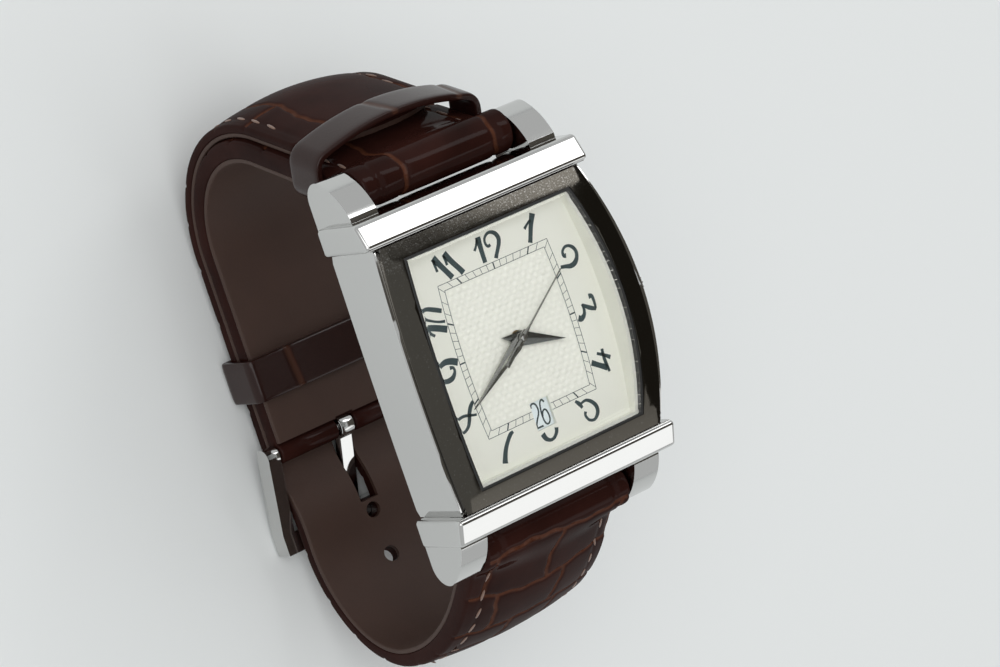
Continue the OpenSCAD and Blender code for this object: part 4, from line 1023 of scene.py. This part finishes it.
def smooth_line(points, steps):
    """A curve through points, with so many steps between two of them."""
    padded = [points[0]] + list(points) + [points[-1]]
    made = []
    for k in range(1, len(padded) - 2):
        a, b, c, d = (Vector(p) for p in padded[k - 1:k + 3])
        for step in range(steps):
            t = step / steps
            made.append(0.5 * (2 * b + (c - a) * t + (2 * a - 5 * b + 4 * c - d) * t * t
                               + (3 * b - a - 3 * c + d) * t ** 3))
    made.append(Vector(points[-1]))
    return made


def add_stroke(mesh, points, steps=8):
    """A flat stroke of changing width along a curve, given in the grid's squares."""
    line = smooth_line(points, steps if len(points) > 2 else 1)
    last = len(line) - 1
    made = bmesh.ops.create_grid(mesh, x_segments=1, y_segments=last, size=0.5)["verts"]
    for vert in made:
        k = round((vert.co.y + 0.5) * last)
        ahead = (line[min(last, k + 1)] - line[max(0, k - 1)]).xy.normalized()
        side = copysign(line[k].z / 2 * INK_SPREAD, vert.co.x)
        vert.co = Vector((line[k].x - ahead.y * side, line[k].y + ahead.x * side, 0)) * (MM / GRID)
    return made


def flat_print(name, mesh, under, body="case"):
    """Ink: flat shapes given a thickness and laid just over a face."""
    outward(mesh)
    bmesh.ops.reverse_faces(mesh, faces=[f for f in mesh.faces if f.normal.z < 0])
    bmesh.ops.solidify(mesh, geom=mesh.faces, thickness=-PRINT_T * MM)
    bmesh.ops.translate(mesh, verts=mesh.verts, vec=(0, 0, under + 0.001 * MM))
    piece(name, mesh, "hand_grey", body=body, look="ink")


# The minute track, in millimetres: two bowed rectangles, and sixty marks between them but for the date window
TRACK_W, TRACK_L, TRACK_RING, TRACK_BOW, TRACK_LINE = 8.42, 9.05, 0.76, 82.0, 0.05
WINDOW_HALF = 1.42
HOUR_MARK, MINUTE_MARK = 0.13, 0.045


def track_edge(inset, direction):
    """Where a ray from the dial's centre meets the track's bowed rectangle."""
    dx, dy = sin(direction), cos(direction)
    half_w, half_l = TRACK_W - inset, TRACK_L - inset
    near, far = 0.0, 30.0
    for _ in range(40):
        r = (near + far) / 2
        x, y = abs(r * dx), abs(r * dy)
        side = half_w - y * y / 2 / TRACK_BOW
        near, far = (r, far) if x < side and y < half_l else (near, r)
    return near


def track_corner(inset):
    """The direction of the track's upper right corner."""
    half_w, half_l = TRACK_W - inset, TRACK_L - inset
    return atan2(half_w - half_l * half_l / 2 / TRACK_BOW, half_l)


def track_point(inset, turn, wide):
    """A point of a stroke on the track, in the grid's squares."""
    r = track_edge(inset, turn)
    return r * sin(turn) * GRID, r * cos(turn) * GRID, wide * GRID


def add_track(mesh):
    """The track's lines and marks, open at the date window."""
    for inset in (0, TRACK_RING):
        corner = track_corner(inset)
        gap = atan(WINDOW_HALF / (TRACK_L - inset))
        right = ((corner, pi - corner), (pi - corner, pi - gap))
        left_side = [(tau - last, tau - first) for first, last in right]
        for first, last in ((-corner, corner), *right, *left_side):
            run = [track_point(inset, first + (last - first) * k / 12, TRACK_LINE) for k in range(13)]
            add_stroke(mesh, run, 1)
    for k in range(60):
        wide = MINUTE_MARK if k % 5 else HOUR_MARK
        mark = [track_point(inset, tau * k / 60, wide) for inset in (TRACK_RING, 0)]
        if mark[1][1] > 0 or abs(mark[1][0]) >= (WINDOW_HALF + 0.1) * GRID:
            add_stroke(mesh, mark)


# The dates, in millimetres, and their figures as strokes in a square of 100 by 100
DATE_Y = -9.0
DATE_SHOWN = 26
DIGIT_W = 0.93
DIGIT_NARROW = 0.8
DIGIT_H = 2.8
DIGIT_GAP = 0.24
DIGIT_LINE = 0.16
DIGITS = {
    "0": [[(50, 100), (15, 88), (2, 50), (15, 12), (50, 0), (85, 12), (98, 50), (85, 88), (50, 100)]],
    "1": [[(20, 84), (60, 100)], [(60, 100), (60, 0)]],
    "2": [[(2, 84), (15, 96), (45, 100), (80, 94), (97, 74), (86, 54), (45, 34), (12, 16), (5, 0)], [(0, 0),
        (100, 0)]],
    "3": [[(5, 85), (30, 98), (70, 97), (93, 80), (80, 60), (40, 53)], [(40, 53), (85, 45), (98, 25), (75, 4), (35, 0),
        (3, 14)]],
    "4": [[(70, 0), (70, 100)], [(70, 100), (2, 30)], [(0, 28), (100, 28)]],
    "5": [[(90, 100), (15, 100)], [(15, 100), (10, 56)], [(10, 56), (40, 64), (80, 58), (98, 32), (80, 6), (40, 0),
        (3, 12)]],
    "6": [[(88, 88), (60, 100), (25, 90), (5, 58), (5, 22), (25, 3), (60, 0), (92, 12), (97, 35), (80, 54), (50, 59),
        (20, 50), (6, 35)]],
    "7": [[(0, 100), (97, 100)], [(97, 100), (60, 50), (40, 0)]],
    "8": [[(50, 55), (12, 70), (12, 90), (50, 100), (88, 90), (88, 70), (50, 55), (5, 38), (5, 12), (50, 0), (95, 12),
        (95, 38), (50, 55)]],
    "9": [[(12, 12), (40, 0), (75, 10), (95, 42), (95, 78), (75, 97), (40, 100), (8, 88), (3, 65), (20, 46), (50, 41),
        (80, 50), (94, 65)]],
}


class WATCH_OT_dial(bpy.types.Operator):
    """Numerals, minute track and the dates on their ring"""
    bl_idname = "watch.dial"
    bl_label = "Dial print"

    def execute(self, context):
        mesh = bmesh.new()
        for strokes in NUMERALS.values():
            for points in strokes:
                add_stroke(mesh, points)
        flat_print("numerals", mesh, DIAL_Z)
        mesh = bmesh.new()
        add_track(mesh)
        flat_print("minute_track", mesh, DIAL_Z)
        mesh = bmesh.new()
        for day in range(1, 32):
            if abs(day - DATE_SHOWN) == 1:
                continue
            turn = Matrix.Rotation(tau * (day - DATE_SHOWN) / 31, 4, "Z")
            wide = DIGIT_W * (1 if day == DATE_SHOWN else DIGIT_NARROW)
            for place, digit in enumerate(str(day)):
                corner = (place - len(str(day)) / 2) * (wide + DIGIT_GAP) + DIGIT_GAP / 2
                for points in DIGITS[digit]:
                    line = [Vector((corner + x / 100 * wide, DATE_Y + (y / 100 - 0.5) * DIGIT_H, DIGIT_LINE)) * GRID
                            for x, y in points]
                    bmesh.ops.transform(mesh, matrix=turn, verts=add_stroke(mesh, line))
        flat_print("dates", mesh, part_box("date_ring")[1].z, "date_ring")
        return {"FINISHED"}


# The hands, in millimetres, each drawn pointing to twelve as the right half of its outline
HANDS = {
    "hour": {"turn": 110, "ridge": 0.15, "boss": 0.8, "look": "hand_grey",
             "half": [(0, 6.3), (0.88, 0.2), (0, -2.5)]},
    "minute": {"turn": 240, "ridge": 0.12, "boss": 0.66, "look": "hand_bright",
               "half": [(0, 10.3), (0.5, 4.0), (0.74, 1.1), (0.5, -0.2), (0.3, -1.1), (0.1, -1.1), (0.1, 1.1),
                        (0.2, 3.4), (0, 5.0)]},
    "seconds": {"turn": 55, "ridge": 0.05, "boss": 0.5, "look": "hand_bright",
                "half": [(0, 9.5), (0.05, 9.5), (0.09, 1.7), (0.28, 0.5), (0.28, -3.9), (0, -3.9), (0, -3.6),
                         (0.12, -3.6), (0.12, -1.2), (0, -1.2)]},
}
HAND_T = 0.15
CAP_R = 0.3


def add_hand(mesh, shape):
    """A hand's plate with its ridge along the middle, pointing to twelve."""
    face = mesh.faces.new([mesh.verts.new((x * MM, y * MM, 0)) for x, y in shape["half"]])
    solid = bmesh.ops.extrude_face_region(mesh, geom=[face])["geom"]
    wide = max(x for x, _ in shape["half"])
    for vert in [g for g in solid if isinstance(g, bmesh.types.BMVert)]:
        vert.co.z = HAND_T * MM + shape["ridge"] * (MM - vert.co.x / wide)
    inner = [f for f in mesh.faces if all(v.co.x < 0.001 * MM for v in f.verts)]
    bmesh.ops.delete(mesh, geom=inner, context="FACES_ONLY")
    bmesh.ops.triangulate(mesh, faces=mesh.faces)
    bmesh.ops.mirror(mesh, geom=mesh.verts[:] + mesh.edges[:] + mesh.faces[:], axis="X", merge_dist=0.002 * MM)
    outward(mesh)


def add_boss(mesh, radius, low, high):
    """A turned boss with a soft rim."""
    made = bmesh.ops.create_cone(mesh, cap_ends=True, segments=40, radius1=radius * MM, radius2=radius * MM,
                                 depth=(high - low) * MM,
                                 matrix=Matrix.Translation((0, 0, (low + high) / 2 * MM)))["verts"]
    rim = {e for v in made for e in v.link_edges if all(w.co.z > (high - 0.01) * MM for w in e.verts)}
    bevel(mesh, list(rim), 0.05 * MM, 3)


class WATCH_OT_hands(bpy.types.Operator):
    """Ridged hour, minute and seconds hands with their bosses"""
    bl_idname = "watch.hands"
    bl_label = "Hands"

    def execute(self, context):
        for body, shape in HANDS.items():
            node = body + "_hand"
            mesh = bmesh.new()
            add_hand(mesh, shape)
            add_boss(mesh, shape["boss"], 0, HAND_T + 0.04)
            turn = Matrix.Rotation(radians(-shape["turn"]), 4, "Z")
            low = Matrix.Translation((0, 0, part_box(node)[0].z))
            bmesh.ops.transform(mesh, matrix=low @ turn, verts=mesh.verts)
            piece(body + "_pointer", mesh, "hand_grey", (node,), body, shape["look"], radians(8))
        mesh = bmesh.new()
        add_boss(mesh, CAP_R, HAND_T, HAND_T + 0.2)
        bmesh.ops.translate(mesh, verts=mesh.verts, vec=(0, 0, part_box("seconds_hand")[0].z))
        piece("centre_cap", mesh, "polished_steel", body="seconds")
        return {"FINISHED"}


# The photograph's camera: its lens and film in millimetres, where it stands and how it is turned
LENS = 144.0
SENSOR = 36.0
CAMERA_AT = at_ridges(-241.807, 75.612, 371.650)
VIEW_RIGHT = Vector((0.77019575, -0.31108634, 0.5567978))
VIEW_DOWN = Vector((-0.35006455, -0.93592672, -0.03867793))
VIEW_AHEAD = Vector((0.53315412, -0.1651256, -0.82974708))

# The softboxes: name, place from the dial, size, and share of the key's power
SOFTBOXES = (
    ("key", (-0.26, 0.14, 0.58), (0.5, 0.5), 1.0),
    ("twelve_side", (0.37, 0.34, 0.50), (0.28, 0.16), 0.3),
    ("six_side", (0.37, -0.47, 0.36), (0.26, 0.22), 0.13),
)

# The studio's dark wall, as the directions it fills (east from, to; north from, to)
WALL = ((0.48, 0.95), (-0.6, 0.33))
WALL_COLOUR = (0.088, 0.08, 0.068)


def light_world(world):
    """Soft light all round, which looks like a pale room with one dark wall."""
    world.use_nodes = True
    sky = Nodes(world.node_tree)
    camera, glossy, through = (sky.node("LightPath", output="Is " + ray + " Ray")
                               for ray in ("Camera", "Glossy", "Transmission"))
    x, y, _ = (part * -1 for part in sky.parts(sky.node("NewGeometry", output="Incoming")))
    (west, east), (south, north) = WALL
    wall = x.above(west, 0.05) * (1 - x.above(east, 0.1)) * y.above(south, 0.06) * (1 - y.above(north, 0.08)) * glossy
    seen = sky.node("Background", color=sky.mix(wall, (0.62, 0.63, 0.63), WALL_COLOUR))
    light = sky.tree.nodes["Background"]
    sky.plug(light.inputs[0], (0.80, 0.81, 0.82))
    sky.plug(light.inputs[1], 0.78)
    direct = (camera + glossy).maths("ADD", through, clamp=True)
    both = sky.node("MixShader", inputs=(direct, light.outputs[0], seen))
    sky.plug(sky.tree.nodes["World Output"].inputs[0], both)


class WATCH_OT_stage(bpy.types.Operator):
    """Camera, pale floor and soft light"""
    bl_idname = "watch.stage"
    bl_label = "Stage"

    def execute(self, context):
        scene = context.scene
        camera = bpy.data.objects.new("camera", bpy.data.cameras.new("camera"))
        camera.data.lens = LENS
        camera.data.sensor_width = SENSOR
        camera.data.clip_start = 0.01
        camera.data.clip_end = 10.0
        turn = Matrix((VIEW_RIGHT, -VIEW_DOWN, -VIEW_AHEAD)).transposed()
        camera.matrix_world = Matrix.Translation(CAMERA_AT) @ turn.to_4x4()
        scene.collection.objects.link(camera)
        scene.camera = camera

        mesh = sheet(2, 2, 1.5)
        bmesh.ops.translate(mesh, verts=mesh.verts, vec=(0, 0, FLOOR_Z))
        floor = in_scene("floor", mesh)
        pale = Finish("floor_paper", base_color=scene.watch_stage.floor, roughness=0.85)
        floor.data.materials.append(pale.material)

        low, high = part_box("dial")
        for name, place, size, share in SOFTBOXES:
            lamp = bpy.data.lights.new(name, "AREA")
            lamp.shape = "RECTANGLE"
            lamp.size, lamp.size_y = size
            lamp.energy = scene.watch_stage.key * share
            made = bpy.data.objects.new(name, lamp)
            made.location = (low + high) / 2 + Vector(place)
            made.rotation_euler = (-Vector(place)).to_track_quat("-Z", "Y").to_euler()
            scene.collection.objects.link(made)

        scene.world = bpy.data.worlds.new("studio")
        light_world(scene.world)
        scene.view_settings.view_transform = "Standard"
        return {"FINISHED"}


class WATCH_PT_panel(bpy.types.Panel):
    """Lists the watch's pieces"""
    bl_idname = "WATCH_PT_panel"
    bl_label = "Watch"
    bl_space_type = "VIEW_3D"
    bl_region_type = "UI"
    bl_category = "Watch"

    def draw(self, context):
        for operator in OPERATORS:
            self.layout.operator(operator.bl_idname)


GROUPS = {"watch_metal": WatchMetal, "watch_dial": WatchDial, "watch_strap": WatchStrap, "watch_stage": WatchStage}
OPERATORS = (WATCH_OT_stage, WATCH_OT_carried, WATCH_OT_case, WATCH_OT_crystal, WATCH_OT_strap, WATCH_OT_keepers,
             WATCH_OT_dial, WATCH_OT_hands)


def register():
    for group in (*GROUPS.values(), *OPERATORS, WATCH_PT_panel):
        bpy.utils.register_class(group)
    for name, group in GROUPS.items():
        setattr(bpy.types.Scene, name, PointerProperty(type=group))


def unregister():
    for name in GROUPS:
        delattr(bpy.types.Scene, name)
    for group in (WATCH_PT_panel, *reversed(OPERATORS), *GROUPS.values()):
        bpy.utils.unregister_class(group)


def main():
    register()
    for operator in OPERATORS:
        group, name = operator.bl_idname.split(".")
        getattr(getattr(bpy.ops, group), name)()


if __name__ == "__main__":
    main()
